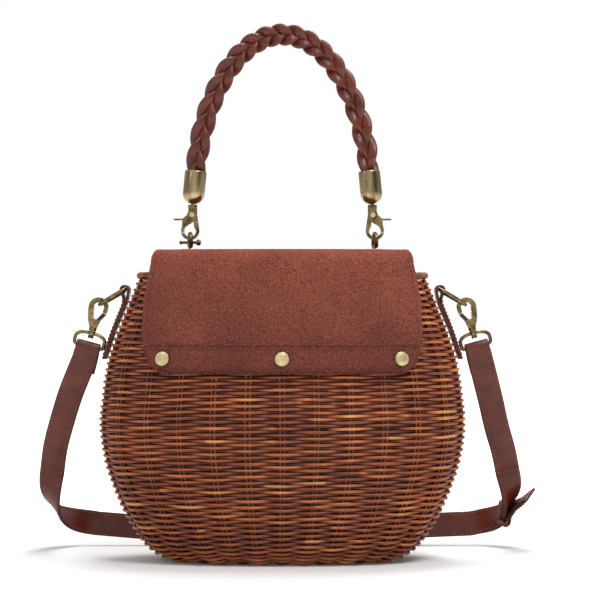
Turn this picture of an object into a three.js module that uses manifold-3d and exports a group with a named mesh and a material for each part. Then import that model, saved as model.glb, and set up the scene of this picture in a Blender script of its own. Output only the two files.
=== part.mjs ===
// Straw basket bag: a wicker body with a leather flap, a braided top handle on two
// trigger clasps, and a long leather strap that hooks to a tab on each side.
// Millimetres, +Z up, +X to the wearer's right in the front view, front towards -Y.
// The origin is the middle of the basket's base, on the floor.

import * as THREE from 'three';
import { mergeVertices } from 'three/addons/utils/BufferGeometryUtils.js';
import Module from 'manifold-3d';

const wasm = await Module();
wasm.setup();

// Shared clearances
const GAP = 0.3;
const FLOOR_GAP = 0.3;

// Basket
const BASKET_HEIGHT = 220;
const BASKET_HALF_WIDTH = 144.2;
const BASKET_HALF_DEPTH = 60;
const BASKET_PLAN_POWER = 2.5;
const BASKET_WALL = 5;
const BASKET_SEGMENTS = 32;
// Rows from the base up: heights and half widths as shares of the basket's own.
const BASKET_PROFILE = [
  { height: 0.0, width: 0.62, depth: 0.62 },
  { height: 0.023, width: 0.687, depth: 0.7 },
  { height: 0.05, width: 0.742, depth: 0.77 },
  { height: 0.091, width: 0.79, depth: 0.82 },
  { height: 0.155, width: 0.853, depth: 0.88 },
  { height: 0.241, width: 0.915, depth: 0.94 },
  { height: 0.36, width: 0.975, depth: 0.985 },
  { height: 0.48, width: 1.0, depth: 1.0 },
  { height: 0.6, width: 0.985, depth: 0.985 },
  { height: 0.72, width: 0.954, depth: 0.955 },
  { height: 0.82, width: 0.903, depth: 0.92 },
  { height: 0.92, width: 0.84, depth: 0.885 },
  { height: 1.0, width: 0.79, depth: 0.86 },
];
const RIM_TUBE_WIDTH = 6.4;
const RIM_TUBE_HEIGHT = 5.6;
const RIM_TUBE_SIDES = 6;

// Flap
const FLAP_THICKNESS = 2.6;
const FLAP_TOP = BASKET_HEIGHT + 23;
const FLAP_HALF_WIDTH = BASKET_HALF_WIDTH * 0.7455;
const FLAP_FRONT_BOTTOM = FLAP_TOP - 94.6;
const FLAP_BACK_BOTTOM = FLAP_TOP - 75;
const FLAP_BEND_RADIUS = 11;
const FLAP_CORNER = 0.05;
const FLAP_CLEARANCE = 1.6;
// Rows down the front from the fold: share of the drop, share of the half width.
const FLAP_FRONT_EDGE = [
  { drop: 0.0, width: 0.94 },
  { drop: 0.14, width: 0.965 },
  { drop: 0.36, width: 0.993 },
  { drop: 0.6, width: 1.0 },
  { drop: 0.8, width: 0.985 },
  { drop: 0.93, width: 0.945 },
  { drop: 1.0, width: 0.87 },
];
const FLAP_COLUMNS = 12;
const BAND_HEIGHT = 17.5;
const BAND_THICKNESS = 1.2;
const BAND_HEM = 2.2;
const BAND_SEAT = 0.45;

// Snaps on the band
const SNAP_RADIUS = 5.5;
const SNAP_HEIGHT = 2;
const SNAP_SPREAD = 90.6;
const SNAP_SIDES = 12;

// Braided handle: the middle line is half of an upright ellipse
const HANDLE_HALF_WIDTH = 68;
const HANDLE_RISE = 129.7;
const HANDLE_CENTRE_HEIGHT = FLAP_TOP + 40.1;
const STRAND_COUNT = 3;
const STRAND_RADIUS = 2.05;
const STRAND_SWAY = 5.9;
const STRAND_WEAVE = 3.7;
const BRAID_TURNS = 6;
const STRAND_SIDES = 6;
const STRAND_STEPS_PER_TURN = 9;
const BRAID_GRIP = 0.82;
const BRAID_GRIP_END = 0.06;
const HANDLE_FOOT_ANGLE = 0.12;

// Cap at each end of the handle
const CAP_RADIUS = 8.6;
const CAP_LENGTH = 26;
const CAP_WALL = 0.9;
const CAP_FLOOR = 2.4;
const CAP_DOME = 8;
const CAP_SIDES = 16;
const CAP_SEAT = 0.75;
const STEM_CLEARANCE = 0.5;
const STRAND_INSERT = 7;

// Trigger clasp under each cap, drawn round the middle of its ring
const CLASP_OFFSET = 72.6;
const CLASP_RING_INNER = 4.6;
const CLASP_RING_OUTER = 7.2;
const CLASP_THICKNESS = 3;
const CLASP_NECK_OFFSET = 2;
const CLASP_NECK_HALF_WIDTH = 3.5;
const CLASP_NECK_TOP = 20.6;
const CLASP_PIVOT = { x: 1.6, z: 12.6 };
const CLASP_EYE_RADIUS = 4;
const CLASP_RIVET_RADIUS = 1.1;
const CLASP_RIVET_HEAD = 2;
const CLASP_RIVET_HEAD_HEIGHT = 0.8;
const GATE_START_DEG = 108;
const GATE_END_DEG = 192;
const NOSE_START_DEG = 184;
const NOSE_END_DEG = 240;
const CLASP_BODY_END_DEG = 50;
const THUMB_LENGTH = 7;
const THUMB_THICKNESS = 1.4;
const STEM_RADIUS = 1.5;
const STEM_HEAD_RADIUS = 2.5;
const STEM_HEAD_HEIGHT = 1.2;

// Arch on the flap that each clasp grips
const ARCH_WIRE = 1.7;
const ARCH_HALF_SPAN = 5.2;
const ARCH_TURN_DEG = 10;
const ARCH_OPENING_TOP = 9.6;
const ARCH_SLACK = 0.7;
const WASHER_RADIUS = 6.7;
const WASHER_HEIGHT = 0.9;
const PIN_RADIUS = 1.1;
const PIN_BALL_RADIUS = 1.5;
const PIN_KNOB_RADIUS = 2.5;
const PIN_REACH = 7.2;

// Leather tab and D-ring on each side
const TAB_WIDTH = 20;
const TAB_PLY = 1.6;
const TAB_TOP = BASKET_HEIGHT - 7.8;
const TAB_BOTTOM = TAB_TOP - 54.2;
const TAB_LOOP_OFFSET = profileAt(TAB_TOP).halfWidth + 6.5;
const TAB_CLEARANCE = 0.4;
const TAB_ROWS = 8;
const RING_WIRE = 1.6;
const TAB_HOLE_RADIUS = RING_WIRE + 0.6;
const TAB_LOOP_RADIUS = TAB_HOLE_RADIUS + 2.4;
const DRING_HALF_WIDTH = TAB_WIDTH / 2 + RING_WIRE + 0.7;

// Strap hook, drawn up from the collar that sits on the strap ring
const HOOK_X = BASKET_HALF_WIDTH + 5.8;
const HOOK_Z = BASKET_HEIGHT - 41.8;
const HOOK_LEAN_DEG = 15;
const HOOK_THICKNESS = 4.4;
const HOOK_OUTER = 7.7;
const HOOK_INNER = 4;
const HOOK_BOW_HEIGHT = 19;
const HOOK_BOW_SHIFT = 0.4;
const HOOK_COLLAR_RADIUS = 3.1;
const HOOK_COLLAR_HEIGHT = 3;
const HOOK_POST_RADIUS = 1.4;
const HOOK_KNOB_RADIUS = 2.4;
const HOOK_KNOB_HEIGHT = 2.2;
const HOOK_BASE_TOP = 8;
const HOOK_TIP_DROP = 4;
const HOOK_PIVOT = { x: 1.9, z: 8 };
const HOOK_CHEEK = 0.8;
const HOOK_GATE_ROOT = 1.9;
const HOOK_GATE_LENGTH = 8.2;
const HOOK_GATE_LEAN_DEG = 60;
const HOOK_GATE_HALF_WIDTH = 1.5;
const HOOK_PIN_RADIUS = 0.9;
const HOOK_PIN_HEAD = 1.5;
const HOOK_PIN_HEAD_HEIGHT = 0.5;
const BOSS_RADIUS = 2.9;
const BOSS_HEIGHT = 3.4;
const STRAP_RING_HALF_WIDTH = 11.8;
const STRAP_RING_HALF_HEIGHT = 5.6;
const STRAP_RING_WIRE = 1.5;
const STRAP_RING_STEPS = 20;
const STRAP_RING_TOP_POWER = 2.4;
const STRAP_RING_BAR_POWER = 6;

// Strap
const STRAP_WIDTH = 20;
const STRAP_FOLD_WIDTH = 19;
const FOLD_CLEARANCE = 0.6;
const STRAP_THICKNESS = 2.4;
const STRAP_FOLD_LENGTH = 20;
// Hand-set middle lines of the hanging strap, from under the fold to the roll: out from the
// hook and back from it as shares of the two reaches, drop as a share of the hook's height.
const FALL_OUT = 38;
const FALL_BACK = 54;
const LEFT_FALL = [
  { out: 0.237, back: 0.037, drop: 0.158 },
  { out: 0.461, back: 0.148, drop: 0.27 },
  { out: 0.671, back: 0.352, drop: 0.394 },
  { out: 0.868, back: 0.667, drop: 0.517 },
  { out: 1.0, back: 1.0, drop: 0.641 },
];
const RIGHT_FALL = [
  { out: 0.25, back: 0.04, drop: 0.199 },
  { out: 0.39, back: 0.16, drop: 0.307 },
  { out: 0.539, back: 0.37, drop: 0.422 },
  { out: 0.724, back: 0.667, drop: 0.534 },
  { out: 0.868, back: 1.0, drop: 0.641 },
];
const LEFT_ROLL = { radius: 18, leanDeg: 9 };
const RIGHT_ROLL = { radius: 17, leanDeg: 14 };
const ROLL_STEPS = 14;
const LAYER_GAP = 0.8;
const SLIDE_X = 6;
const SLIDE_WALL = 1.8;
const SLIDE_LENGTH = 7;
const KEEPER_WALL = 1.5;
const KEEPER_LENGTH = 5;
const KEEPER_STEP = 8;
const KEEPER_LAYERS = 3;
const TAIL_PAST_KEEPER = 33;
const TAIL_LIFT = 1;
// Along the tail past its keeper: share of its length, share of its twist.
const TAIL_ROWS = [
  { along: 0.25, twist: 0.2 },
  { along: 0.55, twist: 1.0 },
  { along: 1.0, twist: 1.0 },
];

const LEATHER = { color: 0x6b342a, roughness: 0.45, metalness: 0 };
const SUEDE = { color: 0x8a5045, roughness: 0.95, metalness: 0 };
const WICKER = { color: 0x84492b, roughness: 0.7, metalness: 0 };
const BRASS = { color: 0x9c8a5a, roughness: 0.35, metalness: 1 };

const rad = THREE.MathUtils.degToRad;
const vec = (x, y, z) => new THREE.Vector3(x, y, z);

// Geometry helpers

function closedGeometry(positions, triangles) {
  const geometry = new THREE.BufferGeometry();
  geometry.setAttribute('position', new THREE.Float32BufferAttribute(positions, 3));
  geometry.setIndex(triangles);
  return outward(geometry);
}

// Turns a closed geometry's faces outwards, by the sign of its volume.
function outward(geometry) {
  const index = geometry.getIndex().array;
  const place = geometry.getAttribute('position');
  const corners = [vec(0, 0, 0), vec(0, 0, 0), vec(0, 0, 0)];
  let volume = 0;
  for (let face = 0; face < index.length; face += 3) {
    corners.forEach((corner, side) => corner.fromBufferAttribute(place, index[face + side]));
    volume += corners[0].dot(corners[1].clone().cross(corners[2]));
  }
  if (volume < 0) {
    const flipped = Array.from(index);
    for (let face = 0; face < flipped.length; face += 3) {
      [flipped[face + 1], flipped[face + 2]] = [flipped[face + 2], flipped[face + 1]];
    }
    geometry.setIndex(flipped);
  }
  return geometry;
}

// Skins rings of points that all have the same count; the ends are capped unless looped.
// In a sheet the second half of each ring is the other face, split along the same diagonals.
function loft(rings, looped = false, isSheet = false) {
  const count = rings[0].length;
  const positions = rings.flat().flatMap((point) => [point.x, point.y, point.z]);
  const triangles = [];
  const spans = looped ? rings.length : rings.length - 1;
  for (let row = 0; row < spans; row += 1) {
    const next = (row + 1) % rings.length;
    for (let side = 0; side < count; side += 1) {
      const a = row * count + side;
      const b = row * count + ((side + 1) % count);
      const c = next * count + side;
      const d = next * count + ((side + 1) % count);
      if (isSheet && side >= count / 2) triangles.push(a, b, c, b, d, c);
      else triangles.push(a, b, d, a, d, c);
    }
  }
  if (!looped) {
    const last = (rings.length - 1) * count;
    for (let side = 1; side < count - 1; side += 1) {
      triangles.push(0, side + 1, side);
      triangles.push(last, last + side, last + side + 1);
    }
  }
  return closedGeometry(positions, triangles);
}

function weld(geometry) {
  const bare = geometry.index ? geometry.clone() : mergeVertices(geometry.clone());
  bare.deleteAttribute('normal');
  bare.deleteAttribute('uv');
  return mergeVertices(bare, 1e-4);
}

function solid(geometry) {
  const bare = weld(geometry);
  return new wasm.Manifold(new wasm.Mesh({
    numProp: 3,
    vertProperties: new Float32Array(bare.getAttribute('position').array),
    triVerts: new Uint32Array(bare.getIndex().array),
  }));
}

function fromSolid(manifold) {
  const mesh = manifold.getMesh();
  return closedGeometry(Array.from(mesh.vertProperties), Array.from(mesh.triVerts));
}

function named(name, geometry, finish) {
  const mesh = new THREE.Mesh(weld(geometry), new THREE.MeshStandardMaterial(finish));
  mesh.name = name;
  return mesh;
}

// A plate drawn in x and z and running from y = front to y = back.
function plate(shape, front, back, curveSegments = 10) {
  const geometry = new THREE.ExtrudeGeometry(shape, {
    depth: back - front,
    bevelEnabled: false,
    curveSegments,
  });
  geometry.rotateX(Math.PI / 2);
  geometry.translate(0, back, 0);
  return geometry;
}

function rod(radius, front, back, x, z, sides = 12) {
  const geometry = new THREE.CylinderGeometry(radius, radius, back - front, sides);
  geometry.translate(x, (front + back) / 2, z);
  return geometry;
}

function post(radius, bottom, top, x, sides = 12) {
  const geometry = new THREE.CylinderGeometry(radius, radius, top - bottom, sides);
  geometry.rotateX(Math.PI / 2);
  geometry.translate(x, 0, (bottom + top) / 2);
  return geometry;
}

function block(x0, x1, y0, y1, z0, z1) {
  const geometry = new THREE.BoxGeometry(x1 - x0, y1 - y0, z1 - z0);
  geometry.translate((x0 + x1) / 2, (y0 + y1) / 2, (z0 + z1) / 2);
  return geometry;
}

function polygon(points) {
  return new THREE.Shape(points.map(([x, z]) => new THREE.Vector2(x, z)));
}

function sector(inner, outer, startDeg, endDeg) {
  const shape = new THREE.Shape();
  shape.absarc(0, 0, outer, rad(startDeg), rad(endDeg), false);
  shape.absarc(0, 0, inner, rad(endDeg), rad(startDeg), true);
  return shape;
}

// Profile points as [radius, height], closed on themselves, turned round the z axis.
function turned(profile, sides) {
  const points = profile.map(([radius, height]) => new THREE.Vector2(radius, height));
  const geometry = new THREE.LatheGeometry(points, sides);
  geometry.rotateX(Math.PI / 2);
  return outward(weld(geometry));
}

function tube(curve, radius, sides, steps) {
  const section = new THREE.Shape();
  for (let side = 0; side < sides; side += 1) {
    const turn = (side / sides) * Math.PI * 2;
    const point = [Math.cos(turn) * radius, Math.sin(turn) * radius];
    if (side === 0) section.moveTo(...point);
    else section.lineTo(...point);
  }
  section.closePath();
  return new THREE.ExtrudeGeometry(section, { steps, extrudePath: curve, bevelEnabled: false });
}

// A wire bent into a closed flat loop; across is the direction square to the loop's plane.
function wireLoop(points, radius, across, sides = 8) {
  const rings = points.map((point, row) => {
    const before = points[(row + points.length - 1) % points.length];
    const after = points[(row + 1) % points.length];
    const along = after.clone().sub(before).normalize();
    const out = along.clone().cross(across).normalize();
    const ring = [];
    for (let side = 0; side < sides; side += 1) {
      const turn = (side / sides) * Math.PI * 2;
      ring.push(point.clone()
        .addScaledVector(out, Math.cos(turn) * radius)
        .addScaledVector(across, Math.sin(turn) * radius));
    }
    return ring;
  });
  return loft(rings, true);
}

// Basket

function profileAt(height) {
  const share = THREE.MathUtils.clamp(height / BASKET_HEIGHT, 0, 1);
  const above = Math.max(1, BASKET_PROFILE.findIndex((row) => row.height >= share - 1e-9));
  const low = BASKET_PROFILE[above - 1];
  const high = BASKET_PROFILE[above];
  const t = (share - low.height) / (high.height - low.height);
  return {
    halfWidth: BASKET_HALF_WIDTH * THREE.MathUtils.lerp(low.width, high.width, t),
    halfDepth: BASKET_HALF_DEPTH * THREE.MathUtils.lerp(low.depth, high.depth, t),
  };
}

function planPoint(halfWidth, halfDepth, turn, height) {
  const bend = 2 / BASKET_PLAN_POWER;
  const c = Math.cos(turn);
  const s = Math.sin(turn);
  return vec(
    Math.sign(c) * Math.abs(c) ** bend * halfWidth,
    Math.sign(s) * Math.abs(s) ** bend * halfDepth,
    height,
  );
}

// Half depth of the basket's outside at a distance x from the middle.
function depthAt(x, height) {
  const { halfWidth, halfDepth } = profileAt(height);
  const share = Math.min(Math.abs(x) / halfWidth, 0.999);
  return halfDepth * (1 - share ** BASKET_PLAN_POWER) ** (1 / BASKET_PLAN_POWER);
}

function planRing(halfWidth, halfDepth, height) {
  const ring = [];
  for (let step = 0; step < BASKET_SEGMENTS; step += 1) {
    ring.push(planPoint(halfWidth, halfDepth, (step / BASKET_SEGMENTS) * Math.PI * 2, height));
  }
  return ring;
}

function makeBasket() {
  const rings = BASKET_PROFILE.map((row) => planRing(
    BASKET_HALF_WIDTH * row.width,
    BASKET_HALF_DEPTH * row.depth,
    BASKET_HEIGHT * row.height,
  ));
  const insideRows = BASKET_PROFILE
    .filter((row) => row.height * BASKET_HEIGHT > BASKET_WALL)
    .reverse();
  insideRows.forEach((row) => rings.push(planRing(
    BASKET_HALF_WIDTH * row.width - BASKET_WALL,
    BASKET_HALF_DEPTH * row.depth - BASKET_WALL,
    BASKET_HEIGHT * row.height,
  )));
  const floorRow = insideRows[insideRows.length - 1];
  rings.push(planRing(
    BASKET_HALF_WIDTH * floorRow.width - 2 * BASKET_WALL,
    BASKET_HALF_DEPTH * floorRow.depth - 2 * BASKET_WALL,
    BASKET_WALL,
  ));
  return named('basket', loft(rings), WICKER);
}

const RIM_BOTTOM = BASKET_HEIGHT + GAP;
const RIM_TOP = RIM_BOTTOM + RIM_TUBE_HEIGHT;

function makeRim() {
  const { halfWidth, halfDepth } = profileAt(BASKET_HEIGHT);
  const inset = BASKET_WALL / 2;
  const rings = [];
  for (let step = 0; step < BASKET_SEGMENTS; step += 1) {
    const turn = (step / BASKET_SEGMENTS) * Math.PI * 2;
    const height = RIM_BOTTOM + RIM_TUBE_HEIGHT / 2;
    const middle = planPoint(halfWidth - inset, halfDepth - inset, turn, height);
    const wide = planPoint(halfWidth - inset + 1, halfDepth - inset + 1, turn, middle.z);
    const out = wide.sub(middle).normalize();
    const ring = [];
    for (let side = 0; side < RIM_TUBE_SIDES; side += 1) {
      const roll = ((side + 0.5) / RIM_TUBE_SIDES) * Math.PI * 2;
      ring.push(middle.clone()
        .addScaledVector(out, (Math.cos(roll) * RIM_TUBE_WIDTH) / 2)
        .add(vec(0, 0, (Math.sin(roll) * RIM_TUBE_HEIGHT) / 2)));
    }
    rings.push(ring);
  }
  return named('basket_rim', loft(rings, true), WICKER);
}

// Flap

function flapWidthAt(drop) {
  const above = Math.max(1, FLAP_FRONT_EDGE.findIndex((row) => row.drop >= drop - 1e-9));
  const low = FLAP_FRONT_EDGE[above - 1];
  const high = FLAP_FRONT_EDGE[above];
  const t = (drop - low.drop) / (high.drop - low.drop);
  return FLAP_HALF_WIDTH * THREE.MathUtils.lerp(low.width, high.width, t);
}

// How far out the sheet lies at x and a height, on its basket side.
function flapDepth(x, height) {
  const bulge = (RIM_TUBE_WIDTH - BASKET_WALL) / 2;
  const nearRim = height > BASKET_HEIGHT - 3 * RIM_TUBE_HEIGHT ? bulge : 0;
  return depthAt(x, Math.min(height, BASKET_HEIGHT)) + FLAP_CLEARANCE + nearRim;
}

// The sheet's profile rows from the front hem, over the top, to the back hem.
function flapRows() {
  const rows = [];
  const foldBottom = FLAP_TOP - FLAP_BEND_RADIUS;
  const frontDrop = foldBottom - FLAP_FRONT_BOTTOM;
  const backDrop = foldBottom - FLAP_BACK_BOTTOM;
  FLAP_FRONT_EDGE.slice().reverse().forEach((row) => rows.push({
    side: -1, height: foldBottom - frontDrop * row.drop, bend: 0, width: FLAP_HALF_WIDTH * row.width,
  }));
  const foldWidth = (bend) => FLAP_HALF_WIDTH * FLAP_FRONT_EDGE[0].width
    * (1 - FLAP_CORNER * (1 - Math.cos(rad(bend))));
  [[-1, [30, 60, 90]], [1, [90, 60, 30]]].forEach(([side, bends]) => bends.forEach((bend) => {
    rows.push({ side, height: foldBottom, bend, width: foldWidth(bend) });
  }));
  FLAP_FRONT_EDGE.forEach((row) => rows.push({
    side: 1, height: foldBottom - backDrop * row.drop, bend: 0, width: FLAP_HALF_WIDTH * row.width,
  }));
  return rows;
}

// A point of the flap; lift is the distance from the sheet's basket side.
function flapPoint(row, x, lift) {
  const turn = rad(row.bend);
  const inner = FLAP_BEND_RADIUS - FLAP_THICKNESS;
  const base = flapDepth(x, row.height);
  const out = base - inner + (inner + lift) * Math.cos(turn);
  return vec(x, row.side * out, row.height + (inner + lift) * Math.sin(turn));
}

function sheet(rows, columns, lift, thickness, trim = 0) {
  const rings = rows.map((row) => {
    const ring = [];
    for (let column = 0; column <= columns; column += 1) {
      const x = (row.width - trim) * ((2 * column) / columns - 1);
      ring.push(flapPoint(row, x, lift));
    }
    for (let column = columns; column >= 0; column -= 1) {
      const x = (row.width - trim) * ((2 * column) / columns - 1);
      ring.push(flapPoint(row, x, lift + thickness));
    }
    return ring;
  });
  return sheetLoft(rings, columns + 1);
}

// Like loft, with the two end caps as strips between the two faces of the sheet.
function sheetLoft(rings, perSide) {
  const count = rings[0].length;
  const positions = rings.flat().flatMap((point) => [point.x, point.y, point.z]);
  const triangles = [];
  for (let row = 0; row < rings.length - 1; row += 1) {
    for (let side = 0; side < count; side += 1) {
      const a = row * count + side;
      const b = row * count + ((side + 1) % count);
      triangles.push(a, b, b + count, a, b + count, a + count);
    }
  }
  const last = (rings.length - 1) * count;
  for (let side = 0; side < perSide - 1; side += 1) {
    const far = count - 1 - side;
    triangles.push(side, far, far - 1, side, far - 1, side + 1);
    triangles.push(last + side, last + far - 1, last + far);
    triangles.push(last + side, last + side + 1, last + far - 1);
  }
  return closedGeometry(positions, triangles);
}

function makeFlap() {
  return named('flap', sheet(flapRows(), FLAP_COLUMNS, 0, FLAP_THICKNESS), SUEDE);
}

function frontRow(height) {
  const foldBottom = FLAP_TOP - FLAP_BEND_RADIUS;
  const drop = (foldBottom - height) / (foldBottom - FLAP_FRONT_BOTTOM);
  return { side: -1, height, bend: 0, width: flapWidthAt(drop) };
}

function makeBand() {
  const bottom = FLAP_FRONT_BOTTOM + BAND_HEM;
  const rows = [0, 0.25, 0.6, 1].map((share) => frontRow(bottom + BAND_HEIGHT * share));
  const geometry = sheet(rows, FLAP_COLUMNS, FLAP_THICKNESS + BAND_SEAT, BAND_THICKNESS, BAND_HEM);
  return named('flap_band', geometry, SUEDE);
}

function makeSnap(name, x) {
  const profile = [
    [0, 0], [SNAP_RADIUS, 0], [SNAP_RADIUS, SNAP_HEIGHT * 0.45],
    [SNAP_RADIUS * 0.84, SNAP_HEIGHT * 0.85], [SNAP_RADIUS * 0.4, SNAP_HEIGHT], [0, SNAP_HEIGHT],
  ];
  const mesh = named(name, turned(profile, SNAP_SIDES), BRASS);
  const height = FLAP_FRONT_BOTTOM + BAND_HEM + BAND_HEIGHT / 2;
  const lift = FLAP_THICKNESS + BAND_SEAT + BAND_THICKNESS;
  const seat = flapPoint(frontRow(height), x, lift);
  const left = flapPoint(frontRow(height), x - SNAP_RADIUS, lift);
  const right = flapPoint(frontRow(height), x + SNAP_RADIUS, lift);
  const lower = flapPoint(frontRow(height - SNAP_RADIUS), x, lift);
  const upper = flapPoint(frontRow(height + SNAP_RADIUS), x, lift);
  const face = right.clone().sub(left).cross(upper.clone().sub(lower)).normalize();
  const sag = Math.max(
    left.clone().sub(seat).dot(face),
    right.clone().sub(seat).dot(face),
    lower.clone().sub(seat).dot(face),
    upper.clone().sub(seat).dot(face),
    0,
  );
  mesh.quaternion.setFromUnitVectors(vec(0, 0, 1), face);
  mesh.position.copy(seat).addScaledVector(face, GAP + sag);
  return mesh;
}

// Handle

class StrandCurve extends THREE.Curve {
  constructor(phase) {
    super();
    this.phase = phase;
  }

  getPoint(t) {
    return strandPoint(this.phase, t);
  }
}

const CAP_LEAN = Math.atan2(
  HANDLE_HALF_WIDTH - CLASP_OFFSET + CLASP_NECK_OFFSET,
  CAP_LENGTH,
);
const CLASP_CENTRE_HEIGHT = FLAP_TOP + GAP + WASHER_HEIGHT + ARCH_OPENING_TOP + CLASP_RING_INNER;
const CAP_BOTTOM = CLASP_CENTRE_HEIGHT + CLASP_NECK_TOP + CAP_SEAT;
const NECK_X = CLASP_OFFSET - CLASP_NECK_OFFSET;
const CAP_TOP_X = NECK_X + Math.sin(CAP_LEAN) * CAP_LENGTH;
const CAP_TOP_Z = CAP_BOTTOM + Math.cos(CAP_LEAN) * CAP_LENGTH;

// Middle line of the handle: half an ellipse that starts STRAND_INSERT inside the caps.
function handleMiddle(t) {
  const span = CAP_TOP_X - Math.sin(CAP_LEAN) * STRAND_INSERT;
  const foot = CAP_TOP_Z - Math.cos(CAP_LEAN) * STRAND_INSERT;
  const rise = HANDLE_CENTRE_HEIGHT + HANDLE_RISE - foot;
  const turn = THREE.MathUtils.lerp(Math.PI - HANDLE_FOOT_ANGLE, HANDLE_FOOT_ANGLE, t);
  const wide = span / Math.cos(HANDLE_FOOT_ANGLE);
  const low = Math.sin(HANDLE_FOOT_ANGLE);
  return {
    point: vec(Math.cos(turn) * wide, 0, foot + ((Math.sin(turn) - low) / (1 - low)) * rise),
    along: vec(Math.sin(turn) * wide, 0, (-Math.cos(turn) * rise) / (1 - low)).normalize(),
  };
}

function strandPoint(phase, t) {
  const { point, along } = handleMiddle(t);
  const side = vec(-along.z, 0, along.x);
  const fade = THREE.MathUtils.smoothstep(Math.min(t, 1 - t), 0, BRAID_GRIP_END);
  const grip = THREE.MathUtils.lerp(BRAID_GRIP, 1, fade);
  const turn = phase + t * BRAID_TURNS * Math.PI * 2;
  return point
    .addScaledVector(side, Math.sin(turn) * STRAND_SWAY * grip)
    .add(vec(0, Math.sin(2 * turn) * STRAND_WEAVE * grip, 0));
}

function makeStrand(index) {
  const curve = new StrandCurve((index / STRAND_COUNT) * Math.PI * 2);
  const steps = BRAID_TURNS * STRAND_STEPS_PER_TURN;
  const strand = tube(curve, STRAND_RADIUS, STRAND_SIDES, steps);
  return named(`handle_strand_${index + 1}`, strand, LEATHER);
}

function makeCap(name, side) {
  const profile = [
    [STEM_RADIUS + STEM_CLEARANCE, 0],
    [CAP_RADIUS * 0.45, 0.5],
    [CAP_RADIUS * 0.75, CAP_DOME * 0.28],
    [CAP_RADIUS * 0.94, CAP_DOME * 0.62],
    [CAP_RADIUS, CAP_DOME],
    [CAP_RADIUS, CAP_LENGTH],
    [CAP_RADIUS - CAP_WALL, CAP_LENGTH],
    [CAP_RADIUS - CAP_WALL, CAP_DOME],
    [CAP_RADIUS * 0.6, CAP_FLOOR + 0.7],
    [STEM_RADIUS + STEM_CLEARANCE, CAP_FLOOR],
    [STEM_RADIUS + STEM_CLEARANCE, 0],
  ];
  const mesh = named(name, turned(profile, CAP_SIDES), BRASS);
  mesh.position.set(side * NECK_X, 0, CAP_BOTTOM);
  mesh.rotation.y = side * CAP_LEAN;
  return mesh;
}

// Trigger clasp, drawn for the left side with its gate towards -x

// How far the gate's end is from the rivet: it is cut to an arc so it can swing inwards.
function gateReach() {
  const middle = (CLASP_RING_INNER + CLASP_RING_OUTER) / 2;
  const turn = rad(GATE_END_DEG);
  return Math.hypot(
    Math.cos(turn) * middle - CLASP_PIVOT.x,
    Math.sin(turn) * middle - CLASP_PIVOT.z,
  );
}

function makeClaspBody() {
  const half = CLASP_THICKNESS / 2;
  const neckLeft = CLASP_NECK_OFFSET - CLASP_NECK_HALF_WIDTH;
  const neckRight = CLASP_NECK_OFFSET + CLASP_NECK_HALF_WIDTH;
  const ring = sector(CLASP_RING_INNER, CLASP_RING_OUTER, NOSE_END_DEG, 360 + CLASP_BODY_END_DEG);
  const nose = sector(CLASP_RING_INNER, CLASP_RING_OUTER, NOSE_START_DEG, NOSE_END_DEG + 1);
  const reach = gateReach() + GAP;
  const shoulder = rad(CLASP_BODY_END_DEG);
  const back = polygon([
    [CLASP_RING_OUTER, 0],
    [CLASP_RING_OUTER * 0.93, CLASP_RING_OUTER * 0.75],
    [neckRight, CLASP_PIVOT.z],
    [neckRight, CLASP_NECK_TOP],
    [neckLeft, CLASP_NECK_TOP],
    [neckLeft, CLASP_PIVOT.z - CLASP_EYE_RADIUS * 0.5],
    [CLASP_RING_OUTER * 0.35, CLASP_RING_OUTER * 1.12],
    [Math.cos(shoulder) * CLASP_RING_INNER, Math.sin(shoulder) * CLASP_RING_INNER],
    [CLASP_RING_INNER, 0],
  ]);
  const neckBottom = CLASP_PIVOT.z + CLASP_EYE_RADIUS + 2 * GAP;
  const stemTop = CLASP_NECK_TOP + CAP_SEAT + CAP_FLOOR + CAP_SEAT;
  const noseCut = solid(rod(reach, -2 * half, 2 * half, CLASP_PIVOT.x, CLASP_PIVOT.z, 96));
  const body = solid(plate(ring, -half, half, 12))
    .add(solid(plate(nose, -half, half, 4)).subtract(noseCut))
    .add(solid(plate(back, GAP / 2, half)))
    .add(solid(block(neckLeft, neckRight, -half, half, neckBottom, CLASP_NECK_TOP)))
    .add(solid(post(STEM_RADIUS, CLASP_NECK_TOP - 1, stemTop + 0.5, CLASP_NECK_OFFSET)))
    .add(solid(post(STEM_HEAD_RADIUS, stemTop, stemTop + STEM_HEAD_HEIGHT, CLASP_NECK_OFFSET)))
    .subtract(solid(rod(CLASP_RIVET_RADIUS + GAP, -2 * half, 2 * half, CLASP_PIVOT.x, CLASP_PIVOT.z)));
  return fromSolid(body);
}

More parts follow.
